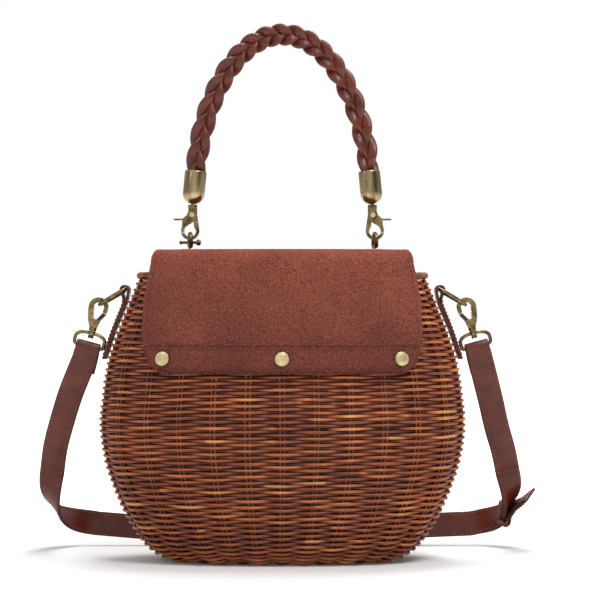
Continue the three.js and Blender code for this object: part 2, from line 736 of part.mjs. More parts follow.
function makeClaspLever() {
  const half = CLASP_THICKNESS / 2;
  const gate = sector(CLASP_RING_INNER, CLASP_RING_OUTER, GATE_START_DEG, GATE_END_DEG + 10);
  const gateEnd = solid(rod(gateReach(), -half, half, CLASP_PIVOT.x, CLASP_PIVOT.z, 96));
  const eyeRight = CLASP_PIVOT.x + CLASP_EYE_RADIUS;
  const eyeLeft = CLASP_PIVOT.x - CLASP_EYE_RADIUS;
  const thumbRoot = -CLASP_RING_OUTER * 0.82;
  const thumbHeight = CLASP_RING_OUTER * 1.35;
  const web = polygon([
    [eyeRight, CLASP_PIVOT.z],
    [eyeRight - 0.6, CLASP_PIVOT.z - CLASP_EYE_RADIUS * 0.9],
    [0.4, CLASP_RING_INNER + 0.9],
    [-1.6, CLASP_RING_INNER + 0.2],
    [-CLASP_RING_INNER, CLASP_RING_INNER * 0.62],
    [-CLASP_RING_OUTER * 0.9, CLASP_RING_OUTER * 0.5],
    [thumbRoot, thumbHeight],
    [eyeLeft, CLASP_PIVOT.z],
  ]);
  const lever = solid(plate(gate, -half, half, 10)).intersect(gateEnd)
    .add(solid(plate(web, -half, -GAP / 2)))
    .add(solid(rod(CLASP_EYE_RADIUS, -half, -GAP / 2, CLASP_PIVOT.x, CLASP_PIVOT.z, 16)))
    .add(solid(block(
      thumbRoot - THUMB_LENGTH, thumbRoot + 1.5, -half, -GAP / 2,
      thumbHeight - THUMB_THICKNESS, thumbHeight,
    )))
    .subtract(solid(rod(CLASP_RIVET_RADIUS + GAP, -2 * half, 2 * half, CLASP_PIVOT.x, CLASP_PIVOT.z)));
  return fromSolid(lever);
}

// A rivet along y through the plates between front and back, with a head on each side.
function makeRivet(radius, headRadius, headHeight, front, back, pivot) {
  const shank = solid(rod(radius, front - GAP - 0.1, back + GAP + 0.1, pivot.x, pivot.z, 10));
  const frontHead = rod(headRadius, front - GAP - headHeight, front - GAP, pivot.x, pivot.z, 10);
  const backHead = rod(headRadius, back + GAP, back + GAP + headHeight, pivot.x, pivot.z, 10);
  return fromSolid(shank.add(solid(frontHead)).add(solid(backHead)));
}

function makeClasp(label, side) {
  const half = CLASP_THICKNESS / 2;
  const clasp = new THREE.Group();
  clasp.add(named(`${label}_clasp`, makeClaspBody(), BRASS));
  clasp.add(named(`${label}_clasp_lever`, makeClaspLever(), BRASS));
  clasp.add(named(`${label}_clasp_rivet`, makeRivet(
    CLASP_RIVET_RADIUS, CLASP_RIVET_HEAD, CLASP_RIVET_HEAD_HEIGHT, -half, half, CLASP_PIVOT,
  ), BRASS));
  clasp.position.set(side * CLASP_OFFSET, 0, CLASP_CENTRE_HEIGHT);
  clasp.rotation.z = side < 0 ? 0 : Math.PI;
  return clasp;
}

// Arch on the flap, standing square to the clasp's ring

function makeArch(label, side) {
  const anchor = new THREE.Group();
  const foot = FLAP_TOP + GAP + WASHER_HEIGHT + GAP;
  const wireTop = CLASP_CENTRE_HEIGHT - CLASP_RING_INNER + ARCH_SLACK + 2 * ARCH_WIRE;
  const crown = wireTop - ARCH_WIRE;
  const springing = crown - ARCH_HALF_SPAN;
  const points = [];
  for (let step = 0; step <= 10; step += 1) {
    const turn = (step / 10) * Math.PI;
    points.push(vec(0, Math.cos(turn) * ARCH_HALF_SPAN, springing + Math.sin(turn) * ARCH_HALF_SPAN));
  }
  for (let step = 0; step < 5; step += 1) {
    const share = step / 4;
    points.push(vec(
      0,
      -ARCH_HALF_SPAN + 2 * ARCH_HALF_SPAN * share,
      foot + ARCH_WIRE,
    ));
  }
  const wire = wireLoop(points, ARCH_WIRE, vec(1, 0, 0), 6);
  anchor.add(named(`${label}_arch`, wire, BRASS));
  const washerProfile = [
    [0, FLAP_TOP + GAP],
    [WASHER_RADIUS, FLAP_TOP + GAP],
    [WASHER_RADIUS, FLAP_TOP + GAP + WASHER_HEIGHT],
    [0, FLAP_TOP + GAP + WASHER_HEIGHT],
  ];
  anchor.add(named(`${label}_washer`, turned(washerProfile, 14), BRASS));
  anchor.position.set(side * CLASP_OFFSET, 0, 0);
  anchor.rotation.z = rad(ARCH_TURN_DEG);
  return anchor;
}

// Screw pin that lies in the foot of the left arch
function makePin() {
  const height = FLAP_TOP + WASHER_HEIGHT + 2 * ARCH_WIRE + 3 * GAP + PIN_RADIUS;
  const profile = [
    [0, -PIN_REACH - PIN_BALL_RADIUS],
    [PIN_BALL_RADIUS * 0.8, -PIN_REACH - PIN_BALL_RADIUS * 0.6],
    [PIN_BALL_RADIUS, -PIN_REACH],
    [PIN_RADIUS, -PIN_REACH + PIN_BALL_RADIUS],
    [PIN_RADIUS, PIN_REACH - PIN_KNOB_RADIUS],
    [PIN_KNOB_RADIUS, PIN_REACH - PIN_KNOB_RADIUS + 0.6],
    [PIN_KNOB_RADIUS, PIN_REACH + 0.6],
    [PIN_KNOB_RADIUS * 0.5, PIN_REACH + 1.2],
    [0, PIN_REACH + 1.2],
  ];
  const geometry = turned(profile, 10);
  geometry.rotateY(Math.PI / 2);
  const mesh = named('left_arch_pin', geometry, BRASS);
  mesh.position.set(-CLASP_OFFSET, 0, height);
  return mesh;
}

// Tab and D-ring, drawn for the right side and mirrored by a half turn for the left

function makeTab(label, side) {
  const leg = [];
  const legTop = TAB_TOP - TAB_HOLE_RADIUS;
  const inner = (z) => profileAt(z).halfWidth + TAB_CLEARANCE;
  const plies = 2 * TAB_PLY;
  for (let row = 0; row <= TAB_ROWS; row += 1) {
    const z = THREE.MathUtils.lerp(legTop, TAB_BOTTOM, row / TAB_ROWS);
    leg.push([inner(z), z]);
  }
  for (let row = TAB_ROWS; row >= 0; row -= 1) {
    const z = THREE.MathUtils.lerp(legTop, TAB_BOTTOM, row / TAB_ROWS);
    leg.push([inner(z) + plies, z]);
  }
  const half = TAB_WIDTH / 2;
  const tab = solid(plate(polygon(leg), -half, half))
    .add(solid(rod(TAB_LOOP_RADIUS, -half, half, TAB_LOOP_OFFSET, TAB_TOP, 16)))
    .subtract(solid(rod(TAB_HOLE_RADIUS, -half - 1, half + 1, TAB_LOOP_OFFSET, TAB_TOP, 12)));
  const mesh = named(`${label}_tab`, fromSolid(tab), LEATHER);
  mesh.rotation.z = side < 0 ? Math.PI : 0;
  return mesh;
}

// Where the bow of a strap hook holds the D-ring, on the right side of the bag.
function hookGrip() {
  const along = BOSS_HEIGHT / 2 + GAP + HOOK_BOW_HEIGHT + HOOK_INNER - RING_WIRE - GAP;
  const lean = rad(HOOK_LEAN_DEG);
  return {
    x: HOOK_X - Math.sin(lean) * along - Math.cos(lean) * HOOK_BOW_SHIFT,
    z: HOOK_Z + Math.cos(lean) * along - Math.sin(lean) * HOOK_BOW_SHIFT,
  };
}

function makeDRing(label, side) {
  const grip = hookGrip();
  const reach = vec(grip.x - TAB_LOOP_OFFSET, 0, grip.z - TAB_TOP);
  const depth = reach.length();
  reach.normalize();
  const points = [];
  const bowSteps = 16;
  for (let step = 0; step <= bowSteps; step += 1) {
    const turn = (step / bowSteps) * Math.PI;
    const out = Math.sin(turn) ** 0.75 * depth;
    points.push(vec(TAB_LOOP_OFFSET, Math.cos(turn) * DRING_HALF_WIDTH, TAB_TOP)
      .addScaledVector(reach, out));
  }
  const across = vec(reach.z, 0, -reach.x);
  const mesh = named(`${label}_d_ring`, wireLoop(points, RING_WIRE, across, 6), BRASS);
  mesh.rotation.z = side < 0 ? Math.PI : 0;
  return mesh;
}

// Strap hook, drawn with its thick side towards +x and its gate towards the basket

function makeHookBody() {
  const half = HOOK_THICKNESS / 2;
  const shift = -HOOK_BOW_SHIFT;
  const tip = HOOK_BOW_HEIGHT - HOOK_TIP_DROP;
  const shape = new THREE.Shape();
  shape.moveTo(HOOK_COLLAR_RADIUS, HOOK_COLLAR_HEIGHT - 0.5);
  shape.quadraticCurveTo(HOOK_OUTER - 1.2, HOOK_BOW_HEIGHT * 0.45, HOOK_OUTER, HOOK_BOW_HEIGHT);
  shape.absarc(0, HOOK_BOW_HEIGHT, HOOK_OUTER, 0, Math.PI, false);
  shape.lineTo(-HOOK_OUTER + 0.4, tip);
  shape.lineTo(-HOOK_INNER - 0.2, tip);
  shape.lineTo(shift - HOOK_INNER, HOOK_BOW_HEIGHT);
  shape.absarc(shift, HOOK_BOW_HEIGHT, HOOK_INNER, Math.PI, 0, true);
  shape.lineTo(HOOK_PIVOT.x - 0.2, HOOK_BASE_TOP + 1.5);
  shape.lineTo(-HOOK_COLLAR_RADIUS - 1, HOOK_BASE_TOP);
  shape.lineTo(-HOOK_COLLAR_RADIUS, HOOK_COLLAR_HEIGHT - 0.5);
  const gateSlot = half - HOOK_CHEEK;
  const pivot = { x: -HOOK_PIVOT.x, z: HOOK_PIVOT.z };
  const sweep = new THREE.Shape();
  sweep.moveTo(pivot.x, pivot.z);
  sweep.absarc(pivot.x, pivot.z, HOOK_GATE_LENGTH + GAP, rad(50), rad(165), false);
  const slotTop = solid(plate(sweep, -half - 1, half + 1, 16))
    .subtract(solid(block(-20, 20, -20, 20, -20, HOOK_BASE_TOP + HOOK_GATE_ROOT)));
  const knobBottom = -BOSS_HEIGHT - 2 * GAP - HOOK_KNOB_HEIGHT;
  const body = solid(plate(shape, -half, half, 8))
    .add(solid(post(HOOK_COLLAR_RADIUS, 0, HOOK_COLLAR_HEIGHT, 0, 14)))
    .subtract(solid(rod(HOOK_GATE_ROOT + GAP, -gateSlot, gateSlot, pivot.x, pivot.z, 14)))
    .subtract(solid(block(-12, pivot.x, -gateSlot, gateSlot, pivot.z - HOOK_GATE_ROOT - GAP, 12)))
    .subtract(slotTop)
    .subtract(solid(rod(HOOK_PIN_RADIUS + GAP, -half - 1, half + 1, pivot.x, pivot.z, 10)))
    .add(solid(post(HOOK_POST_RADIUS, knobBottom + 0.5, 1, 0)))
    .add(solid(post(HOOK_KNOB_RADIUS, knobBottom, knobBottom + HOOK_KNOB_HEIGHT, 0)));
  return fromSolid(body);
}

function makeHookGate() {
  const half = HOOK_THICKNESS / 2 - HOOK_CHEEK - GAP;
  const pivot = { x: -HOOK_PIVOT.x, z: HOOK_PIVOT.z };
  const lean = rad(180 - HOOK_GATE_LEAN_DEG);
  const along = { x: Math.cos(lean), z: Math.sin(lean) };
  const wide = HOOK_GATE_HALF_WIDTH;
  const reach = Math.sqrt(HOOK_GATE_LENGTH ** 2 - wide ** 2);
  const corner = (length, side) => [
    pivot.x + along.x * length - along.z * side,
    pivot.z + along.z * length + along.x * side,
  ];
  const bar = polygon([corner(0, -wide), corner(0, wide), corner(reach, wide), corner(reach, -wide)]);
  const gate = solid(plate(bar, -half, half))
    .add(solid(rod(HOOK_GATE_ROOT, -half, half, pivot.x, pivot.z, 14)))
    .subtract(solid(rod(HOOK_PIN_RADIUS + GAP, -half - 1, half + 1, pivot.x, pivot.z, 10)));
  return fromSolid(gate);
}

// Oval ring that the strap folds round, with a drilled boss for the hook's post
function makeStrapRing() {
  const points = [];
  for (let step = 0; step < STRAP_RING_STEPS; step += 1) {
    const turn = (step / STRAP_RING_STEPS) * Math.PI * 2;
    const c = Math.cos(turn);
    const s = Math.sin(turn);
    const bend = 2 / (s > 0 ? STRAP_RING_TOP_POWER : STRAP_RING_BAR_POWER);
    points.push(vec(
      Math.sign(c) * Math.abs(c) ** bend * STRAP_RING_HALF_WIDTH,
      0,
      Math.sign(s) * Math.abs(s) ** bend * STRAP_RING_HALF_HEIGHT - STRAP_RING_HALF_HEIGHT,
    ));
  }
  const half = BOSS_HEIGHT / 2;
  const ring = solid(wireLoop(points, STRAP_RING_WIRE, vec(0, 1, 0), 6))
    .add(solid(post(BOSS_RADIUS, -half, half, 0, 14)))
    .subtract(solid(post(HOOK_POST_RADIUS + GAP, -half - 1, half + 1, 0)));
  return fromSolid(ring);
}

function makeHook(label, side) {
  const half = HOOK_THICKNESS / 2;
  const group = new THREE.Group();
  const upper = new THREE.Group();
  upper.position.z = BOSS_HEIGHT / 2 + GAP;
  const pivot = { x: -HOOK_PIVOT.x, z: HOOK_PIVOT.z };
  upper.add(named(`${label}_hook`, makeHookBody(), BRASS));
  upper.add(named(`${label}_hook_gate`, makeHookGate(), BRASS));
  upper.add(named(`${label}_hook_pin`, makeRivet(
    HOOK_PIN_RADIUS, HOOK_PIN_HEAD, HOOK_PIN_HEAD_HEIGHT, -half, half, pivot,
  ), BRASS));
  group.add(upper);
  group.add(named(`${label}_strap_ring`, makeStrapRing(), BRASS));
  const lean = new THREE.Group();
  lean.add(group);
  group.position.set(HOOK_X, 0, HOOK_Z);
  group.rotation.y = -rad(HOOK_LEAN_DEG);
  lean.rotation.z = side < 0 ? Math.PI : 0;
  return lean;
}

// Strap

// A flat strap through stations that hold its middle point, width direction and width.
function strapLoft(stations, thickness) {
  const rings = stations.map((station, row) => {
    const before = stations[Math.max(row - 1, 0)].point;
    const after = stations[Math.min(row + 1, stations.length - 1)].point;
    const along = after.clone().sub(before).normalize();
    const wide = station.wide.clone().addScaledVector(along, -station.wide.dot(along)).normalize();
    const face = along.clone().cross(wide).normalize();
    const halfWidth = station.width / 2;
    const halfThick = thickness / 2;
    return [[-1, -1], [1, -1], [1, 1], [-1, 1]].map(([w, t]) => station.point.clone()
      .addScaledVector(wide, w * halfWidth)
      .addScaledVector(face, t * halfThick));
  });
  return loft(rings, false, true);
}

// Where the strap's fold wraps the lower bar of its ring. side is -1 left, 1 right.
function foldFrame(side) {
  const lean = rad(HOOK_LEAN_DEG);
  const drop = 2 * STRAP_RING_HALF_HEIGHT;
  const bar = vec(side * (HOOK_X + Math.sin(lean) * drop), 0, HOOK_Z - Math.cos(lean) * drop);
  return {
    bar,
    up: vec(-side * Math.sin(lean), 0, Math.cos(lean)),
    wide: vec(Math.cos(lean), 0, side * Math.sin(lean)),
  };
}

function fallStations(side, fall, leanDeg) {
  const { bar, up, wide } = foldFrame(side);
  const wrap = STRAP_RING_WIRE + FOLD_CLEARANCE + STRAP_THICKNESS / 2;
  const ply = (STRAP_THICKNESS + GAP) / 2;
  const place = (y, along) => bar.clone().addScaledVector(up, along).add(vec(0, y, 0));
  const stations = [];
  const add = (y, along, width) => stations.push({ point: place(y, along), wide, width });
  add(2 * ply + ply, -STRAP_FOLD_LENGTH, STRAP_WIDTH);
  add(2 * ply + ply, -STRAP_FOLD_LENGTH * 0.65, STRAP_WIDTH);
  add(2 * ply, -STRAP_FOLD_LENGTH * 0.35, STRAP_WIDTH);
  add(wrap, -wrap * 0.6, STRAP_FOLD_WIDTH);
  [0, 45, 90, 135, 180].forEach((turn) => add(
    Math.cos(rad(turn)) * wrap, Math.sin(rad(turn)) * wrap, STRAP_FOLD_WIDTH,
  ));
  add(-wrap, -wrap * 0.6, STRAP_FOLD_WIDTH);
  add(-ply, -STRAP_FOLD_LENGTH * 0.35, STRAP_WIDTH);
  const middle = fall.map((row) => vec(
    side * (HOOK_X + FALL_OUT * row.out),
    FALL_BACK * row.back,
    HOOK_Z * (1 - row.drop),
  ));
  const entry = place(-ply * 0.4, -STRAP_FOLD_LENGTH * 0.45);
  const curve = new THREE.CatmullRomCurve3([stations[stations.length - 1].point, entry, ...middle]);
  const steps = 12;
  const leanEnd = rad(leanDeg);
  const wideEnd = vec(Math.cos(leanEnd), 0, side * Math.sin(leanEnd));
  for (let step = 2; step <= steps; step += 1) {
    const t = step / steps;
    stations.push({ point: curve.getPoint(t), wide: wide.clone().lerp(wideEnd, t), width: STRAP_WIDTH });
  }
  return stations;
}

// The strap rolls round an imagined slanting cylinder, from hanging to standing on its edge.
function rollStations(side, start, { radius, leanDeg }, steps) {
  const lean = rad(leanDeg);
  const turnLean = (v) => v.applyAxisAngle(vec(0, 1, 0), -side * lean);
  const axis = turnLean(vec(-side, 0, -1).normalize());
  const out = turnLean(vec(side, 0, -1).normalize());
  const stations = [];
  for (let step = 1; step <= steps; step += 1) {
    const turn = (step / steps) * Math.PI;
    const round = out.clone().multiplyScalar(Math.cos(turn)).add(vec(0, Math.sin(turn), 0));
    const point = start.clone()
      .addScaledVector(axis, radius * turn)
      .addScaledVector(out, radius * Math.sin(turn))
      .add(vec(0, radius * (1 - Math.cos(turn)), 0));
    const wide = axis.clone().sub(round).normalize().multiplyScalar(-side);
    stations.push({ point, wide, width: STRAP_WIDTH });
  }
  return stations;
}

function smooth(points, wides, steps) {
  const line = new THREE.CatmullRomCurve3(points);
  const stations = [];
  for (let step = 1; step <= steps; step += 1) {
    const t = step / steps;
    const wide = wides[0].clone().lerp(wides[1], THREE.MathUtils.smoothstep(t, 0, 0.6));
    stations.push({ point: line.getPoint(t), wide, width: STRAP_WIDTH });
  }
  return stations;
}

const LAYER_STEP = STRAP_THICKNESS + LAYER_GAP;
const SLIDE_HALF_HEIGHT = STRAP_WIDTH / 2 + GAP + SLIDE_WALL;
const BACK_HEIGHT = SLIDE_HALF_HEIGHT + FLOOR_GAP;
const leftFall = fallStations(-1, LEFT_FALL, LEFT_ROLL.leanDeg);
const leftRoll = rollStations(-1, leftFall[leftFall.length - 1].point, LEFT_ROLL, ROLL_STEPS);
const rightFall = fallStations(1, RIGHT_FALL, RIGHT_ROLL.leanDeg);
const rightRoll = rollStations(1, rightFall[rightFall.length - 1].point, RIGHT_ROLL, ROLL_STEPS);
const leftEnd = leftRoll[leftRoll.length - 1];
const rightEnd = rightRoll[rightRoll.length - 1];
const backY = rightEnd.point.y;
const SLIDE_Y = backY + LAYER_STEP / 2;

const down = vec(0, 0, -1);
const up = vec(0, 0, 1);

// The short part's run from its roll to the slide behind the basket
const backRun = smooth([
  rightEnd.point,
  vec(rightEnd.point.x * 0.55, backY, (rightEnd.point.z + BACK_HEIGHT) / 2),
  vec(SLIDE_X + 2 * SLIDE_LENGTH, backY, BACK_HEIGHT),
  vec(SLIDE_X - SLIDE_LENGTH, backY, BACK_HEIGHT),
], [rightEnd.wide, up], 8);

function makeShortStrap() {
  const stations = [...rightFall, ...rightRoll, ...backRun];
  return named('strap_short', strapLoft(stations, STRAP_THICKNESS), LEATHER);
}

// The second layer of the doubled stretch: the short part's stations, stepped outwards
function outerLayer() {
  const line = [...rightRoll.slice(KEEPER_STEP - 1), ...backRun].reverse();
  return line.map((station, row) => {
    const before = line[Math.max(row - 1, 0)].point;
    const after = line[Math.min(row + 1, line.length - 1)].point;
    const along = after.clone().sub(before).normalize();
    const wide = station.wide.clone().addScaledVector(along, -station.wide.dot(along)).normalize();
    const outer = wide.clone().cross(along).normalize();
    if (outer.y < 0) outer.negate();
    const point = station.point.clone().addScaledVector(outer, LAYER_STEP);
    return { point, wide, along, outer, width: STRAP_WIDTH };
  });
}

const layer = outerLayer();
const keeper = layer[layer.length - 1];

// The long part: from the left ring, round its roll, along the back and out through the keeper
function makeLongStrap() {
  const first = layer[0];
  const run = smooth([
    leftEnd.point,
    vec(leftEnd.point.x * 0.5, (leftEnd.point.y + first.point.y) / 2, BACK_HEIGHT),
    first.point,
  ], [leftEnd.wide, down], 10);
  run.forEach((station) => station.point.setZ(Math.max(station.point.z, BACK_HEIGHT - SLIDE_WALL)));
  const doubled = layer.slice(1).map((station) => ({ ...station, wide: station.wide.clone().negate() }));
  const flat = vec(0, 1, 0).addScaledVector(keeper.along, -keeper.along.y).normalize();
  const tail = TAIL_ROWS.map((row) => ({
    point: keeper.point.clone()
      .addScaledVector(keeper.along, TAIL_PAST_KEEPER * row.along)
      .addScaledVector(up, TAIL_LIFT * row.along ** 2),
    wide: keeper.wide.clone().lerp(flat, row.twist).negate(),
    width: STRAP_WIDTH,
  }));
  const stations = [...leftFall, ...leftRoll, ...run, ...doubled, ...tail];
  return named('strap_long', strapLoft(stations, STRAP_THICKNESS), LEATHER);
}

// A flat closed band round both layers of the strap, square to the direction along.
function bandRound(centre, along, wide, wall, length, layers) {
  const face = along.clone().cross(wide).normalize();
  const halfHigh = STRAP_WIDTH / 2 + GAP;
  const halfDeep = (layers * LAYER_STEP + GAP) / 2;
  const outline = (grow) => [[-1, -1], [1, -1], [1, 1], [-1, 1]].map(([h, d]) => [
    h * (halfHigh + grow), d * (halfDeep + grow),
  ]);
  const rings = [[0, -1], [wall, -1], [wall, 1], [0, 1]].map(([grow, end]) => outline(grow)
    .map(([h, d]) => centre.clone()
      .addScaledVector(wide, h)
      .addScaledVector(face, d)
      .addScaledVector(along, (end * length) / 2)));
  return loft(rings, true);
}

function makeSlide() {
  const centre = vec(SLIDE_X, SLIDE_Y, BACK_HEIGHT);
  const slide = bandRound(centre, vec(1, 0, 0), up, SLIDE_WALL, SLIDE_LENGTH, 2);
  return named('strap_slide', slide, BRASS);
}

function makeKeeper() {
  const centre = keeper.point.clone().addScaledVector(keeper.outer, -LAYER_STEP / 2);
  return named('strap_keeper', bandRound(
    centre, keeper.along, keeper.wide, KEEPER_WALL, KEEPER_LENGTH, KEEPER_LAYERS,
  ), LEATHER);
}

const bag = new THREE.Group();
bag.add(makeBasket(), makeRim(), makeFlap(), makeBand());
for (const [label, side] of [['left', -1], ['middle', 0], ['right', 1]]) {
  bag.add(makeSnap(`snap_${label}`, side * SNAP_SPREAD));
}
for (let index = 0; index < STRAND_COUNT; index += 1) {
  bag.add(makeStrand(index));
}
for (const [label, side] of [['left', -1], ['right', 1]]) {
  bag.add(makeCap(`${label}_cap`, side));
  bag.add(makeClasp(label, side));
  bag.add(makeArch(label, side));
  bag.add(makeTab(label, side));
  bag.add(makeDRing(label, side));
  bag.add(makeHook(label, side));
}
bag.add(makePin());
bag.add(makeShortStrap(), makeLongStrap(), makeSlide(), makeKeeper());

export default bag;
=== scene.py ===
"""Straw basket bag: woven body, suede flap, braided top handle and leather strap.

Lengths in the helpers are in millimetres in the bag's own frame: x to the right in the
front view, y to the back, z up, with the basket standing at z = 0.
"""

import math

import bpy
import numpy as np
from mathutils import Matrix, Vector


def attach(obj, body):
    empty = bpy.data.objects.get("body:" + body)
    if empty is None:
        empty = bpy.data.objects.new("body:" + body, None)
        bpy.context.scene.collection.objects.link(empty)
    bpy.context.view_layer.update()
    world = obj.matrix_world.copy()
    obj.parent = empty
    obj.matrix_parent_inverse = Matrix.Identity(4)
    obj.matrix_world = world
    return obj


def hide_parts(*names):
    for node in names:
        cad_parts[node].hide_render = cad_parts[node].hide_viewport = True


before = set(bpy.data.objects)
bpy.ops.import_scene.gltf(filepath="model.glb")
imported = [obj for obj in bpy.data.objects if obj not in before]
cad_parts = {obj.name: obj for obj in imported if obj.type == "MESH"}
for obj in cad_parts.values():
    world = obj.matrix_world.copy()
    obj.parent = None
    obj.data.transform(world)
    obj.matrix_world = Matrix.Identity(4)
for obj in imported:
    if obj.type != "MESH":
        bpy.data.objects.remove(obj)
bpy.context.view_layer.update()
MM = 0.001
SIDES = (("left", -1), ("right", 1))

# Basket
BASKET_HEIGHT = 220
BASKET_HALF_WIDTH = 144.2
BASKET_HALF_DEPTH = 60
PLAN_POWER = 2.5
BASKET_WALL = 5
# Rows from the base up: height and half widths as shares of the basket's own
BASKET_PROFILE = [
    (0.0, 0.62, 0.62), (0.023, 0.687, 0.7), (0.05, 0.742, 0.77), (0.091, 0.79, 0.82),
    (0.155, 0.853, 0.88), (0.241, 0.915, 0.94), (0.36, 0.975, 0.985), (0.48, 1.0, 1.0),
    (0.6, 0.985, 0.985), (0.72, 0.954, 0.955), (0.82, 0.903, 0.92), (0.92, 0.84, 0.885),
    (1.0, 0.79, 0.86),
]
STAKE_PAIRS = 26
STAKE_RADIUS = 0.95
STAKE_SPREAD = 1.5
ROD_RADIUS = 1.22
ROW_PITCH = 2.4
WEAVE_STEPS = 8
BASE_STEPS = 6
ROW_TINTS = 16
WEAVE_SWING = 1.75
# The dark sheet of painted shade sits this far inside the weave's outer face.
SHADE_SHEET_INSET = 4.3
BASE_ROD_RADIUS = 1.12
BASE_ROD_HEIGHT = 2.7
RIM_CENTRE = 223.1
RIM_ROD_RADIUS = 1.28
RIM_SWAY = 1.75
RIM_RISE = 1.45
RIM_TURNS = 30

# Flap
FLAP_TOP = 243
FLAP_THICKNESS = 2.6
FLAP_HALF_WIDTH = 107.5
FLAP_FRONT_BOTTOM = 148.4
FLAP_BACK_BOTTOM = 168
FLAP_BEND_RADIUS = 11
FLAP_CORNER = 0.05
FLAP_CLEARANCE = 1.6
FLAP_FOLD = FLAP_TOP - FLAP_BEND_RADIUS
SHEET_COLUMNS = 90
SIDE_SEAM_INSET = 3.9
# Down the front from the fold: share of the drop, share of the half width
FLAP_EDGE = [
    (0.0, 0.94), (0.14, 0.965), (0.36, 0.993), (0.6, 1.0), (0.8, 0.985), (0.93, 0.945),
    (1.0, 0.87),
]
BAND_HEIGHT = 17.5
BAND_HEM = 2.2
BAND_TOP = FLAP_FRONT_BOTTOM + BAND_HEM + BAND_HEIGHT
BAND_LIFT = FLAP_THICKNESS + 0.1
BAND_THICKNESS = 1.5
BAND_SEAM_INSET = 4.4
SNAP_RADIUS = 5.5
SNAP_SPREAD = 90.6
SNAP_LIFT = FLAP_THICKNESS + 0.45 + 1.2

# Handle, caps and clasps
CLASP_OFFSET = 72.6
CLASP_CENTRE = 258.4
NECK_X = 70.6
CAP_BOTTOM = 279.75
CAP_LENGTH = 26
CAP_RADIUS = 8.6
CAP_LEAN = math.atan2(68 - CLASP_OFFSET + 2, CAP_LENGTH)
STRAND_INSERT = 7
HANDLE_TOP = 283.1 + 129.7
HANDLE_FOOT_ANGLE = 0.12
BRAID_TURNS = 6
STRAND_SWAY = 5.1
STRAND_WEAVE = 2.7
STRAND_HALF_WIDTH = 3.7
STRAND_HALF_THICKNESS = 2.1
STRAND_TILT = 0.55

# Arch on the flap
ARCH_WIRE = 1.7
ARCH_HALF_SPAN = 5.2
ARCH_TURN_DEG = 10
ARCH_FOOT = 244.5
ARCH_CROWN = CLASP_CENTRE - 4.6 + 0.7 + ARCH_WIRE

# Tabs and D-rings
TAB_WIDTH = 20
TAB_PLY = 1.6
TAB_SEAT = 0.4
TAB_SEAM_INSET = 2
TAB_TOP = 212.2
TAB_BOTTOM = 158
TAB_LOOP_OFFSET = 123.6
RING_WIRE = 1.6
DRING_HALF_WIDTH = TAB_WIDTH / 2 + RING_WIRE + 0.7

# Strap hooks and rings
HOOK_X = 150
HOOK_Z = 178.2
HOOK_LEAN_DEG = 15
HOOK_GRIP_ALONG = 23.1
HOOK_GRIP_SHIFT = 0.4
RING_HALF_WIDTH = 11.8
RING_HALF_HEIGHT = 5.6
STRAP_RING_WIRE = 1.5

# Strap
STRAP_WIDTH = 20
STRAP_FOLD_WIDTH = 19
STRAP_THICKNESS = 2.4
STRAP_FOLD_LENGTH = 20
CROSS_SEAM_DROP = 15
STRAP_SEAM_INSET = 2.1
# The hanging strap's middle line, from under the fold to the roll: out from the hook and
# back from it as shares of the two reaches, drop as a share of the hook's height
FALL_OUT = 38
FALL_BACK = 54
LEFT_FALL = [
    (0.237, 0.037, 0.158), (0.461, 0.148, 0.27), (0.671, 0.352, 0.394),
    (0.868, 0.667, 0.517), (1.0, 1.0, 0.641),
]
RIGHT_FALL = [
    (0.25, 0.04, 0.199), (0.39, 0.16, 0.307), (0.539, 0.37, 0.422),
    (0.724, 0.667, 0.534), (0.868, 1.0, 0.641),
]
LEFT_ROLL = (18, 9)
RIGHT_ROLL = (17, 14)
LAYER_STEP = STRAP_THICKNESS + 0.8
BACK_HEIGHT = 12.4
SLIDE_X = 6
SLIDE_LENGTH = 7
KEEPER_STEP = 8
KEEPER_LENGTH = 5
KEEPER_LAYERS = 3
TAIL_PAST_KEEPER = 33
TAIL_LIFT = 1
# Along the tail past its keeper: share of its length, share of its twist
TAIL_TWIST = [(0.0, 0.0), (0.25, 0.2), (0.55, 1.0), (1.0, 1.0)]

# Camera and lights, in metres
CAMERA_PLACE = (0.0106, -1.5, 0.201)
CAMERA_LENS = 112.97
CAMERA_SENSOR = 36
LIGHT_AIM = (0, 0, 0.18)


def vec(x, y, z):
    return np.array([x, y, z], float)


def unit(v):
    v = np.asarray(v, float)
    return v / np.linalg.norm(v, axis=-1, keepdims=True)


def smoothstep(t):
    t = np.clip(t, 0, 1)
    return t * t * (3 - 2 * t)


# Materials


def rgb(red, green, blue):
    """A display colour, 0 to 255, as the linear colour that shaders take."""
    return [
        ((c / 255 + 0.055) / 1.055) ** 2.4 if c > 10 else c / 3295 for c in (red, green, blue)
    ] + [1]


def add(tree, kind, inputs=None, **settings):
    """A shader node with its settings, and its inputs set or linked by name or number."""
    made = tree.nodes.new(kind)
    for name, value in settings.items():
        setattr(made, name, value)
    for name, value in (inputs or {}).items():
        if isinstance(value, bpy.types.NodeSocket):
            tree.links.new(value, made.inputs[name])
        else:
            made.inputs[name].default_value = value
    return made


def group(name, inputs, outputs):
    """An empty node group with named float, colour or vector sockets."""
    tree = bpy.data.node_groups.new(name, "ShaderNodeTree")
    for label, kind, default in inputs:
        socket = tree.interface.new_socket(label, in_out="INPUT", socket_type=kind)
        if default is not None:
            socket.default_value = default
    for label, kind in outputs:
        tree.interface.new_socket(label, in_out="OUTPUT", socket_type=kind)
    given = tree.nodes.new("NodeGroupInput").outputs
    return tree, given, tree.nodes.new("NodeGroupOutput").inputs


